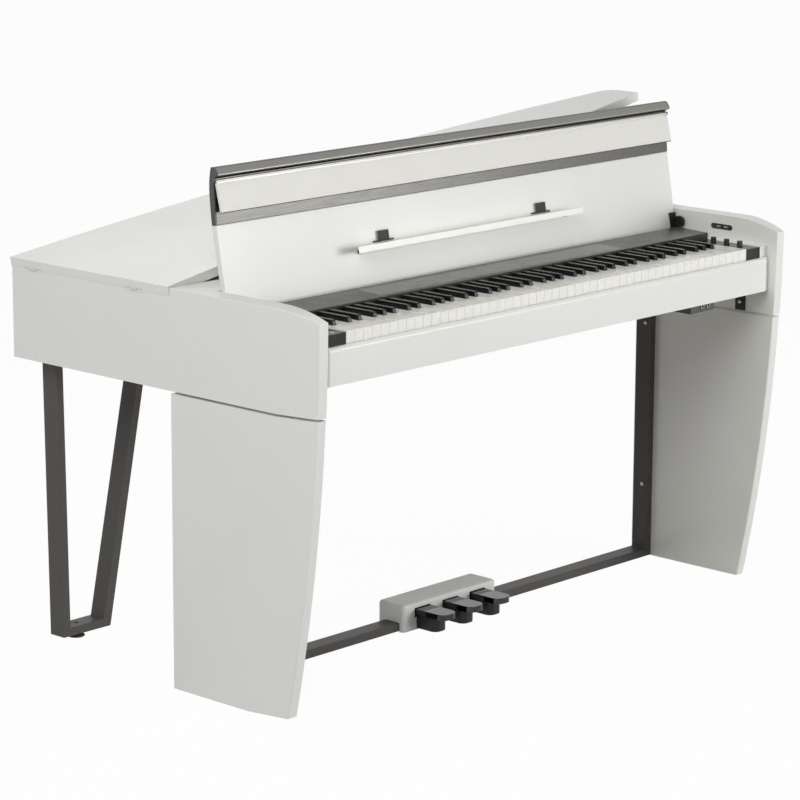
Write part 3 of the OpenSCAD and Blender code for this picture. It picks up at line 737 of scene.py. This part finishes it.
@dataclass
class Cabinet:
    """Sides, leg panels and boards of the case."""

    edge_mm: float = 3.0
    top_edge_mm: float = 8.0
    board_edge_mm: float = 0.6
    top_band_mm: float = 60.0
    inner_face_mm: float = 700.0

    def side_rule(self, edge: Edge) -> float:
        """Rounds a side's outer top edge most, and an edge beside the legs or the lid least.

        Args:
            edge: A sharp edge of a side.

        Returns:
            Its share of the top edge's width.
        """
        low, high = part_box("left_side_panel")
        upper = min(v.co.z for v in edge.verts) > high.z - self.top_band_mm * MM
        at_leg = max(v.co.z for v in edge.verts) < low.z + SEAM_BAND
        under_lid = upper and edge_middle(edge).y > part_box("lid")[0].y - SEAM_BAND
        if at_leg or under_lid:
            return SEAM_EDGE_MM / self.top_edge_mm
        outer = abs(edge_middle(edge).x) > self.inner_face_mm * MM
        return 1.0 if upper and outer else self.edge_mm / self.top_edge_mm

    def leg_rule(self, edge: Edge) -> float:
        """Rounds an edge of a leg panel least beside the case."""
        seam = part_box("left_leg_panel")[1].z - SEAM_BAND
        return SEAM_EDGE_MM / self.edge_mm if min(v.co.z for v in edge.verts) > seam else 1.0

    def build(self) -> None:
        """Makes every board of the case."""
        for node in ("left_side_panel", "right_side_panel"):
            rounded(node, Slot.WHITE_LACQUER, self.top_edge_mm, rule=self.side_rule, segments=5)
        for node in ("left_leg_panel", "right_leg_panel"):
            rounded(node, Slot.WHITE_LACQUER, self.edge_mm, rule=self.leg_rule)
        for node in ("rear_rim", "keyslip", "top_board"):
            rounded(node, Slot.WHITE_LACQUER, 1.5)
        for node in ("keybed", "rear_tray"):
            rounded(node, Slot.RAW_BOARD, self.board_edge_mm, segments=2)


@dataclass
class Lid:
    """The lid, its hinges and its prop."""

    edge_mm: float = 3.0
    bolt_mm: float = 5.5

    def edge_rule(self, edge: Edge) -> float:
        """Rounds the lower edge along the hinges least."""
        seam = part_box("lid")[0].z + SEAM_BAND
        return SEAM_EDGE_MM / self.edge_mm if max(v.co.z for v in edge.verts) < seam else 1.0

    def build(self) -> None:
        """Makes the lid and what holds it."""
        rounded("lid", Slot.WHITE_LACQUER, self.edge_mm, rule=self.edge_rule)
        for node in ("lid_hinge_leaves", "lid_hinge_plates"):
            rounded(node, Slot.PAINTED_STEEL, 0.4, segments=2)
        rounded("lid_prop", Slot.BLACK_METAL, 1.6)
        rounded("prop_bracket", Slot.BLACK_METAL, 1.0)
        rounded("prop_pad", Slot.BLACK_RUBBER, 1.4)
        pivot = joint_place("prop_pivot")
        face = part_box("prop_bracket")[0].y
        head = Vector((pivot.x, face + 0.4 * MM, pivot.z))
        add_screw("prop_pivot_bolt", head, FACE_FRONT, self.bolt_mm, "prop_bracket")


@dataclass
class Fallboard:
    """The raised fallboard with its metal profile, flap, music rest and page clips."""

    panel_edge_mm: float = 2.0
    profile_edge_mm: float = 0.6
    cap_mm: float = 2.9
    lean_degrees: float = 13.8
    bead_mm: float = 5.4
    seal_mm: float = 1.3
    rail_facing: float = 0.35
    pin_mm: float = 4.0
    pin_reach: float = 1.2
    pin_slack: float = 0.03

    def profile(self) -> None:
        """Makes the metal profile between two plastic end caps."""
        node = "fallboard_profile"
        low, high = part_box(node)
        inset = Vector((self.cap_mm * MM, 0, 0))
        middle = cut_off(cut_off(merged(node), high - inset, TO_TREBLE), low + inset, TO_BASS)
        metal = finished(middle, "fallboard_profile_metal", Slot.DARK_METAL, node,
                         [node], self.profile_edge_mm * MM, finish=PROFILE_METAL)
        # The front-facing faces above the flap hinge take the brighter metal, a painted reflection
        # that stands in for the lamps' sheen along the upper profile.
        metal.data.materials.append(RAIL_METAL_PAINTED_SHEEN.material())
        rail = joint_place("nose_flap_hinge").z
        for face in metal.data.polygons:
            if face.center.z > rail and face.normal.y < -self.rail_facing:
                face.material_index = 1
        ends = (("treble", high - inset, TO_BASS), ("bass", low + inset, TO_TREBLE))
        for name, point, away in ends:
            finished(cut_off(merged(node), point, away), f"profile_{name}_end_cap",
                     Slot.PANEL_PLASTIC, node, (), self.profile_edge_mm * MM)

    def flap(self) -> None:
        """Makes the nose flap: a metal bead, the white leaf and a soft seal along its edge."""
        node = "fallboard_flap"
        lean = math.radians(self.lean_degrees)
        down = Vector((0, -math.sin(lean), -math.cos(lean)))
        bead = joint_place("nose_flap_hinge")
        below_bead = bead + down * self.bead_mm * MM
        tip = max(v.co.dot(down) for v in merged(node).verts) - self.seal_mm * MM
        above_seal = down * tip
        leaf = cut_off(cut_off(merged(node), below_bead, -down), above_seal, down)
        finished(leaf, "flap_leaf", Slot.WHITE_PLASTIC, node, [node], 0.5 * MM)
        finished(cut_off(merged(node), below_bead, down), "flap_bead", Slot.REST_METAL,
                 node, (), 0.3 * MM, finish=BEAD_METAL)
        finished(cut_off(merged(node), above_seal, -down), "flap_seal", Slot.BLACK_RUBBER,
                 node, (), 0.4 * MM)

    def pivots(self) -> None:
        """Makes the pins a hair thinner, so that no facet meets a bore's as the board turns."""
        node = "fallboard_pivots"
        shape = merged(node)
        axis = joint_place("fallboard_hinge")
        for vert in shape.verts:
            out = vert.co - axis
            out.x = 0
            if out.length < self.pin_reach * self.pin_mm * MM:
                vert.co -= out * self.pin_slack
        finished(shape, f"{node}_finished", Slot.BLACK_METAL, node, [node], 0.4 * MM)

    def build(self) -> None:
        """Makes the board and what it carries."""
        rounded("fallboard_panel", Slot.WHITE_LACQUER, self.panel_edge_mm)
        self.profile()
        self.flap()
        rounded("fallboard_brackets", Slot.BLACK_METAL, 0.6)
        self.pivots()
        rounded("music_rest", Slot.REST_METAL, 1.5)
        for node in ("left_page_clip", "right_page_clip"):
            rounded(node, Slot.BLACK_METAL, 0.4)


@dataclass
class Keyboard:
    """Eighty-eight keys on their frame."""

    white_edge_mm: float = 0.9
    black_edge_mm: float = 1.4
    shortest_mm: float = 2.0

    def key_rule(self, edge: Edge) -> float:
        """Rounds the long edges only, so that the bores keep their rims."""
        return 1.0 if edge.calc_length() > self.shortest_mm * MM else 0.0

    def build(self) -> None:
        """Makes the fixed keys, the moving octave and the frame."""
        for node in sorted(frame["nodes"]):
            if node == "black_keys" or "sharp" in node:
                rounded(node, Slot.BLACK_PLASTIC, self.black_edge_mm, rule=self.key_rule)
            elif node == "white_keys" or (node.startswith("key_") and node != "key_frame"):
                rounded(node, Slot.IVORY_PLASTIC, self.white_edge_mm, rule=self.key_rule)
        rounded("key_frame", Slot.FRAME_PLASTIC, 0.5, segments=2)


@dataclass
class Controls:
    """Control panel, cheeks, knobs, power button and sockets."""

    flutes: int = 24
    flute_depth: float = 0.07
    pointer_mm: float = 0.9
    ink_mm: float = 0.12
    scale_mm: float = 9.6
    dot_degrees: float = 27
    sign_bars_mm: tuple[tuple[float, float, float], ...] = ((12.6, 0.5, 2.2), (22, 9, 1.2))
    ring_mm: tuple[float, float] = (3.4, 5.2)
    jack_places_mm: tuple[float, float] = (38, 58)
    port_places_mm: tuple[float, float] = (13.2, 33.2)

    def knob(self, node: str) -> None:
        """Makes one fluted knob with a pale pointer.

        Args:
            node: The knob's CAD node.
        """
        low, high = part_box(node)
        centre = foot_of(node)
        radius = (high.x - low.x) / 2
        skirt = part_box("right_cheek")[1].z + 0.3 * MM
        top = high.z - self.ink_mm * MM
        shaft = radius * 0.45
        outline = [(0, low.z), (shaft, low.z), (shaft, skirt), (radius - 0.3 * MM, skirt),
                   (radius, skirt + 0.3 * MM), (radius, skirt + 1.6 * MM),
                   (radius * 0.93, skirt + 2.0 * MM), (radius * 0.9, top - 0.8 * MM),
                   (radius * 0.84, top), (0, top)]
        shape = lathed(outline, Vector((0, 0, 0)), steps=self.flutes * 4)
        for vert in shape.verts:
            reach = vert.co.xy.length
            if skirt + 1.8 * MM < vert.co.z < top - 0.5 * MM and reach > shaft * 1.2:
                turn = math.atan2(vert.co.y, vert.co.x)
                vert.co.xy *= 1 - self.flute_depth * (0.5 + 0.5 * math.cos(self.flutes * turn))
        bmesh.ops.translate(shape, vec=centre, verts=shape.verts)
        finished(shape, f"{node}_cap", Slot.KNOB_PLASTIC, node, [node])
        half = self.pointer_mm * MM / 2
        mark = cuboid(Vector((-half, radius * 0.1, top - 0.3 * MM)) + centre,
                      Vector((half, radius * 0.82, high.z)) + centre)
        finished(mark, f"{node}_pointer", Slot.BUTTON_PLASTIC, node, finish=PRINT_INK)

    def knob_marks(self) -> None:
        """Prints a dot scale round each knob on the treble cheek."""
        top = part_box("right_cheek")[1].z
        shape = bmesh.new()
        reach = self.scale_mm * MM
        for node in KNOBS:
            middle = foot_of(node)
            for step in range(-5, 6):
                turn = math.radians(90 - step * self.dot_degrees)
                place = middle + Vector((reach * math.cos(turn), reach * math.sin(turn), top))
                bmesh.ops.create_cone(shape, cap_ends=True, segments=10, radius1=0.45 * MM,
                                      radius2=0.4 * MM, depth=2 * self.ink_mm * MM,
                                      matrix=Matrix.Translation(place))
        finished(shape, "knob_scale_dots", Slot.BUTTON_PLASTIC, "right_cheek", finish=PRINT_INK)

    def power(self) -> None:
        """Makes the power button, its collar and the sign printed beside it."""
        node = "power_button"
        low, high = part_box(node)
        radius = (high.x - low.x) / 2
        outline = [(0, low.z), (radius, low.z), (radius, high.z - 0.5 * MM),
                   (radius - 0.4 * MM, high.z - 0.1 * MM), (radius * 0.6, high.z),
                   (0, high.z - 0.25 * MM)]
        foot = foot_of(node)
        finished(lathed(outline, foot), "power_button_cap", Slot.BUTTON_PLASTIC, node, [node])
        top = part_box("left_cheek")[1].z
        collar = [(radius + 0.35 * MM, top - 0.2 * MM), (radius + 1.5 * MM, top - 0.2 * MM),
                  (radius + 1.3 * MM, top + 0.5 * MM), (radius + 0.5 * MM, top + 0.6 * MM)]
        finished(lathed(collar, foot, closed=True), "power_button_collar", Slot.BUTTON_PLASTIC,
                 "left_cheek", finish=CHROME)
        ink = self.ink_mm * MM
        ring = [(1.5 * MM, 0), (2.0 * MM, 0), (2.0 * MM, 2 * ink), (1.5 * MM, 2 * ink)]
        sign = lathed(ring, foot + Vector((0, 11 * MM, top - ink)), closed=True)
        for behind, width, length in self.sign_bars_mm:
            place = Matrix.Translation(foot + Vector((0, behind * MM, top)))
            bar = Matrix.Diagonal((width * MM, length * MM, 2 * ink, 1))
            bmesh.ops.create_cube(sign, size=1, matrix=place @ bar)
        finished(sign, "power_sign", Slot.BUTTON_PLASTIC, "left_cheek", finish=PRINT_INK)

    def sockets(self) -> None:
        """Makes the headphone sockets' rings and the shells in the side's socket plate."""
        low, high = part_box("jack_box")
        inner, outer = self.ring_mm
        ring = in_mm([(inner, 0), (outer, 0), (outer, 0.9), (outer - 0.5, 1.4),
                      (inner + 0.5, 1.4), (inner, 0.9)])
        for name, x in zip(("left", "right"), self.jack_places_mm):
            foot = Vector((low.x + x * MM, low.y + 1.0 * MM, (low.z + high.z) / 2))
            finished(lathed(ring, foot, FACE_FRONT, closed=True), f"headphone_{name}_ring",
                     Slot.HINGE_STEEL, "jack_box", finish=CHROME)
        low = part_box("port_bezel")[0]
        for name, y in zip(("device", "host"), self.port_places_mm):
            corner = low + Vector((0.6, y, 4.2)) * MM
            shell = cuboid(corner, corner + Vector((4.6, 11.6, 3.6)) * MM)
            finished(shell, f"{name}_port_shell", Slot.HINGE_STEEL, "port_bezel",
                     width=0.3 * MM)
            tongue = cuboid(corner + Vector((-0.4, 2, 1.2)) * MM,
                            corner + Vector((0.2, 9.6, 2.4)) * MM)
            finished(tongue, f"{name}_port_tongue", Slot.BUTTON_PLASTIC, "port_bezel",
                     finish=PRINT_INK)

    def build(self) -> None:
        """Makes the controls."""
        rounded("control_panel", Slot.PANEL_PLASTIC, 1.2)
        rounded("control_window", Slot.WINDOW_PLASTIC, 0.3)
        for node in ("left_cheek", "right_cheek"):
            rounded(node, Slot.PANEL_PLASTIC, 1.0, finish=CHEEK_PLASTIC)
        for node in KNOBS:
            self.knob(node)
        self.knob_marks()
        self.power()
        rounded("port_bezel", Slot.PANEL_PLASTIC, 0.5)
        rounded("jack_box", Slot.PANEL_PLASTIC, 0.8)
        self.sockets()


@dataclass
class Stand:
    """Front frame, rear leg and foot."""

    tube_edge_mm: float = 2.0
    nut_mm: float = 8.5
    threads: int = 20
    screw_mm: float = 4.4
    post_inset_mm: float = 19.7
    post_screws_mm: tuple[float, float] = (166.7, 533.6)

    def foot(self) -> None:
        """Makes the levelling foot: a rubber pad in a cup, a nut and a threaded stem."""
        node = "rear_leveller"
        low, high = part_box(node)
        centre = foot_of(node)
        pad = (high.x - low.x) / 2
        cup = [(0, 0), (pad - 1.5 * MM, 0), (pad, 1.2 * MM), (pad, 2.6 * MM),
               (pad - 2.5 * MM, 4.4 * MM), (pad * 0.45, 6 * MM), (0, 6 * MM)]
        finished(lathed(cup, centre), "leveller_pad", Slot.BLACK_RUBBER, node, [node])
        nut = bmesh.new()
        radius = self.nut_mm * MM
        place = Matrix.Translation(centre + Vector((0, 0, 7.7 * MM)))
        bmesh.ops.create_cone(nut, cap_ends=True, segments=6, radius1=radius, radius2=radius,
                              depth=3.6 * MM, matrix=place)
        finished(nut, "leveller_nut", Slot.BLACK_RUBBER, node, width=0.5 * MM, finish=ZINC)
        stem = [(0, 5.8)]
        for turn in range(self.threads):
            stem += [(4.2, 5.8 + turn), (4.9, 6.3 + turn)]
        finished(lathed(in_mm([*stem, (0, 26)]), centre, steps=24), "leveller_stem",
                 Slot.BLACK_RUBBER, node, finish=ZINC)

    def build(self) -> None:
        """Makes the tubes, the foot and the fixings."""
        for node in ("front_frame", "rear_leg"):
            rounded(node, Slot.DARK_METAL, self.tube_edge_mm)
        self.foot()
        rounded("stand_fixings", Slot.BLACK_METAL, 0.6)
        low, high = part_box("stand_fixings")
        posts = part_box("front_frame")
        node = "stand_fixings"
        for side, inward in ((1, FACE_BASS), (-1, FACE_TREBLE)):
            name = "treble" if side > 0 else "bass"
            face = side * (posts[1].x - self.post_inset_mm * MM)
            for i, height in enumerate(self.post_screws_mm):
                place = Vector((face, posts[0].y + 14 * MM, height * MM))
                add_screw(f"{name}_post_screw_{i}", place, inward, self.screw_mm, node)
            place = Vector((side * (high.x - 5.6 * MM), low.y + 12 * MM, high.z - 13 * MM))
            add_screw(f"{name}_angle_screw", place, inward, self.screw_mm, node)


@dataclass
class Pedals:
    """Pedal box with three pedals."""

    box_edge_mm: float = 7.0
    slot_share: float = 0.12

    def box_rule(self, edge: Edge) -> float:
        """Rounds the box's top edges widely, and its other edges little."""
        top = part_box("pedal_box")[1].z - 0.1 * MM
        return 1.0 if min(v.co.z for v in edge.verts) > top else self.slot_share

    def build(self) -> None:
        """Makes the box, its blocks and the pedals."""
        rounded("pedal_box", Slot.BOX_PLASTIC, self.box_edge_mm, rule=self.box_rule, segments=5)
        rounded("pedal_blocks", Slot.BLACK_RUBBER, 1.5, finish=BLOCK_PLASTIC)
        for node in ("left_pedal", "middle_pedal", "right_pedal"):
            rounded(node, Slot.PEDAL_CHROME, 1.6, segments=4)
        rounded("pedal_axle", Slot.HINGE_STEEL, 0.4)


@dataclass
class Insides:
    """Loudspeakers and electronics in the case."""

    woofer_mm: float = 62.0
    bolt_circle_mm: float = 57.0
    board_lift_mm: float = 14.0
    fins: int = 9
    cage_slots: int = 8

    def woofer(self, name: str, foot: Vector) -> None:
        """Makes one loudspeaker that faces down.

        Args:
            name: Name that its pieces begin with.
            foot: Middle of its flange, on the tray.
        """
        r = self.woofer_mm
        basket = [(49, 0), (r, 0), (r, 2.5), (r - 3, 4), (54, 4.4), (40, 30), (38, 34), (33, 36),
                  (24, 36), (24, 33), (36, 31), (50, 4), (49, 2)]
        magnet = [(0, 36), (32, 36), (33, 37), (33, 56), (32, 57.6), (12, 57.6), (10, 58), (0, 58)]
        cone = [(47, 1), (48, 2.4), (25, 24), (14, 30), (0, 30), (0, 28.6), (13, 28.4), (24, 22.6)]
        surround = [(46.5, 0.6), (48, 0.4), (49.5, 1.6), (49.4, 3.2), (47.6, 3.4), (46.2, 2.2)]
        cap = [(0, 20), (8, 21.2), (14, 25), (15.4, 29), (14, 29), (0, 26)]
        parts = (("basket", basket, True, FINISHES[Slot.BLACK_METAL]),
                 ("magnet", magnet, False, ZINC), ("cone", cone, True, PAPER),
                 ("surround", surround, True, FINISHES[Slot.BLACK_RUBBER]),
                 ("cap", cap, False, PAPER))
        for part, outline, closed, finish in parts:
            replaced = ["woofers"] if name == "bass_woofer" and part == "basket" else []
            finished(lathed(in_mm(outline), foot, closed=closed, steps=48), f"{name}_{part}",
                     Slot.SPEAKER_METAL, "woofers", replaced, finish=finish)
        reach = self.bolt_circle_mm * MM
        for i in range(4):
            turn = math.radians(45 + 90 * i)
            place = foot + Vector((reach * math.cos(turn), reach * math.sin(turn), 3.6 * MM))
            add_screw(f"{name}_screw_{i}", place, FACE_TOP, 3.0, "woofers")

    def electronics(self) -> None:
        """Makes the main board with its parts, the power supply's cage and the mains inlet."""
        node = "electronics"
        low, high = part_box("electronics")
        board = Vector((low.x, low.y, low.z + self.board_lift_mm * MM))
        chip = FINISHES[Slot.KNOB_PLASTIC]

        def block(name: str, corner: tuple, size: tuple, finish: Finish | None = None,
                  edge: float = 0.3, replaced: Iterable[str] = ()) -> None:
            """Adds one box-shaped part.

            Args:
                name: Name of the piece.
                corner: Its lowest corner, in millimetres from the board's.
                size: Its size in millimetres.
                finish: Finish in place of the board's.
                edge: Width of its edges' rounding in millimetres.
                replaced: CAD nodes that it stands for.
            """
            start = board + Vector(corner) * MM
            finished(cuboid(start, start + Vector(size) * MM), name, Slot.CIRCUIT, node,
                     replaced, edge * MM, finish=finish)

        block("main_board", (0, 0, 6), (180, 120, 1.6), replaced=[node])
        block("sound_chip", (20, 30, 7.6), (40, 40, 3), chip)
        block("memory_chip", (24, 80, 7.6), (22, 12, 2), chip)
        for i in range(self.fins):
            block(f"amplifier_fin_{i}", (92 + 7.5 * i, 22, 7.6), (2, 64, 13), ZINC)
        block("amplifier_plate", (90, 20, 7.6), (70, 70, 3), ZINC)
        for i in range(4):
            block(f"board_socket_{i}", (12 + 28 * i, 108, 7.6), (18, 7, 8), PRINT_INK)
        can = in_mm([(0, 0), (5, 0), (5, 10.4), (4.6, 11), (0, 10.8)])
        for i, (x, y) in enumerate(((70, 40), (70, 60), (76, 96), (136, 104), (160, 104))):
            foot = board + Vector((x, y, 7.6)) * MM
            finished(lathed(can, foot, steps=20), f"capacitor_{i}", Slot.CIRCUIT, node,
                     finish=ZINC)
        post = in_mm([(0, 0), (3, 0), (3, 6), (0, 6)])
        for i, (x, y) in enumerate(((8, 8), (172, 8), (8, 112), (172, 112))):
            foot = board + Vector((x, y, 0)) * MM
            finished(lathed(post, foot, steps=16), f"board_post_{i}", Slot.CIRCUIT, node,
                     finish=ZINC)
            add_screw(f"board_screw_{i}", foot + Vector((0, 0, 7.6 * MM)), FACE_TOP, 2.6, node)
        block("power_supply_cage", (195, 10, 0), (60, 100, 32), ZINC, 1.0)
        for i in range(self.cage_slots):
            block(f"cage_slot_{i}", (205, 26 + 9 * i, 31.7), (40, 3, 0.5), chip)
        inlet = Vector((high.x - 48 * MM, low.y, low.z))
        finished(cuboid(inlet, inlet + Vector((48, 28, 23)) * MM), "mains_inlet", Slot.CIRCUIT,
                 node, (), 1.5 * MM, finish=chip)

    def build(self) -> None:
        """Makes what is seen under the lid and through the tray."""
        low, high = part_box("woofers")
        inset = self.woofer_mm * MM
        middle = (low.y + high.y) / 2
        for name, x, y in (("bass_woofer", low.x, high.y), ("middle_woofer", high.x, low.y)):
            foot = Vector((x + math.copysign(inset, -x), y - math.copysign(inset, y - middle),
                           low.z))
            self.woofer(name, foot)
        self.electronics()


# ---------- Studio ----------


@dataclass(frozen=True)
class AreaLamp:
    """A square soft box that faces the piano."""

    name: str
    place: tuple[float, float, float]
    size: float
    power: float
    aim: tuple[float, float, float] = (0.0, 0.0, 0.55)

    def hang(self) -> None:
        """Puts the lamp up."""
        data = bpy.data.lights.new(self.name, "AREA")
        data.shape = "SQUARE"
        data.size = self.size
        data.energy = self.power
        lamp = put_up(self.name, data)
        lamp.location = self.place
        ahead = Vector(self.aim) - Vector(self.place)
        lamp.rotation_euler = ahead.to_track_quat("-Z", "Y").to_euler()


@dataclass
class Studio:
    """Camera, pale floor, world and lamps."""

    camera_place: tuple[float, float, float] = (-4.848, -4.4715, 1.934)
    yaw: float = 47.0
    pitch: float = -12.65
    roll: float = 0.26
    lens: float = 145.97
    sensor_mm: float = 36
    shift: tuple[float, float] = (0.0045, -0.0006)
    floor_half: float = 60.0
    floor_white: float = 0.97
    ambient: float = 0.02
    lamps: tuple[AreaLamp, ...] = (
        AreaLamp("front_lamp", (2.55, -4.24, 1.3), 2.8, 128.0),
        AreaLamp("left_lamp", (-3.55, -2.05, 3.47), 2.4, 92.0),
        AreaLamp("side_lamp", (-4.1, 0.0, 3.47), 2.4, 33.0),
        AreaLamp("back_left_lamp", (-2.6, 1.3, 1.1), 1.0, 5.0),
        AreaLamp("top_lamp", (0.0, 0.2, 3.4), 2.0, 16.0),
        AreaLamp("back_lamp", (2.05, 3.55, 3.47), 2.4, 13.0),
    )

    def camera(self) -> None:
        """Sets the camera up at the known place and turn."""
        yaw, pitch, roll = (math.radians(a) for a in (self.yaw, self.pitch, self.roll))
        flat = math.cos(pitch)
        ahead = Vector((math.sin(yaw) * flat, math.cos(yaw) * flat, math.sin(pitch)))
        level = Vector((math.cos(yaw), -math.sin(yaw), 0))
        upright = level.cross(ahead)
        right = level * math.cos(roll) + upright * math.sin(roll)
        up = upright * math.cos(roll) - level * math.sin(roll)
        data = bpy.data.cameras.new("camera")
        data.lens = self.lens
        data.sensor_width = self.sensor_mm
        data.shift_x, data.shift_y = self.shift
        camera = put_up("camera", data)
        turn = Matrix((right, up, -ahead)).transposed().to_4x4()
        camera.matrix_world = Matrix.Translation(self.camera_place) @ turn
        bpy.context.scene.camera = camera

    def seen_or_mirrored(self, tree: Tree) -> Socket:
        """Adds a value that is 1 for rays from the camera and through mirrors and glass.

        Args:
            tree: Node tree that gets the nodes.

        Returns:
            The value's socket.
        """
        path = add_node(tree, "ShaderNodeLightPath")
        seen = path.outputs["Is Camera Ray"]
        for kind in ("Is Glossy Ray", "Is Transmission Ray"):
            seen = add_node(tree, "ShaderNodeMath", {0: seen, 1: path.outputs[kind]},
                            operation="MAXIMUM").outputs[0]
        return seen

    def floor(self) -> None:
        """Lays the floor: white where it is seen, and it keeps the object's shadow."""
        shape = bmesh.new()
        bmesh.ops.create_grid(shape, x_segments=1, y_segments=1, size=self.floor_half)
        mesh = bpy.data.meshes.new("floor")
        shape.to_mesh(mesh)
        shape.free()
        floor = put_up("floor", mesh)
        paint = bpy.data.materials.new("pale_studio_floor")
        paint.use_nodes = True
        tree = paint.node_tree
        matt = tree.nodes["Principled BSDF"]
        set_inputs(matt, {"Base Color": linear("EDEDED"), "Roughness": 0.9,
                          "Specular IOR Level": 0.0})
        white = add_node(tree, "ShaderNodeEmission", {"Color": (1, 1, 1, 1), "Strength": 1.0})
        share = add_node(tree, "ShaderNodeMath",
                         {0: self.seen_or_mirrored(tree), 1: self.floor_white},
                         operation="MULTIPLY")
        mix = add_node(tree, "ShaderNodeMixShader",
                       {0: share.outputs[0], 1: matt.outputs[0], 2: white.outputs[0]})
        set_inputs(tree.nodes["Material Output"], {"Surface": mix.outputs[0]})
        mesh.materials.append(paint)

    def world(self) -> None:
        """Lights the room evenly, and shows white behind the object."""
        world = bpy.data.worlds.new("studio")
        world.use_nodes = True
        bpy.context.scene.world = world
        tree = world.node_tree
        strength = add_node(tree, "ShaderNodeMapRange", {"Value": self.seen_or_mirrored(tree),
                                                         "To Min": self.ambient, "To Max": 1.0})
        set_inputs(tree.nodes["Background"], {"Color": (1, 1, 1, 1),
                                              "Strength": strength.outputs[0]})

    def build(self) -> None:
        """Sets the studio up round the piano."""
        self.camera()
        self.floor()
        self.world()
        for lamp in self.lamps:
            lamp.hang()
        bpy.context.scene.view_settings.view_transform = "Standard"


def main() -> None:
    """Builds every sub-assembly and the studio."""
    logging.basicConfig(level=logging.INFO, format="%(name)s %(message)s")
    parts = (Cabinet(), Lid(), Fallboard(), Keyboard(), Controls(), Stand(), Pedals(), Insides())
    for part in parts:
        part.build()
    Studio().build()


if __name__ == "__main__":
    main()
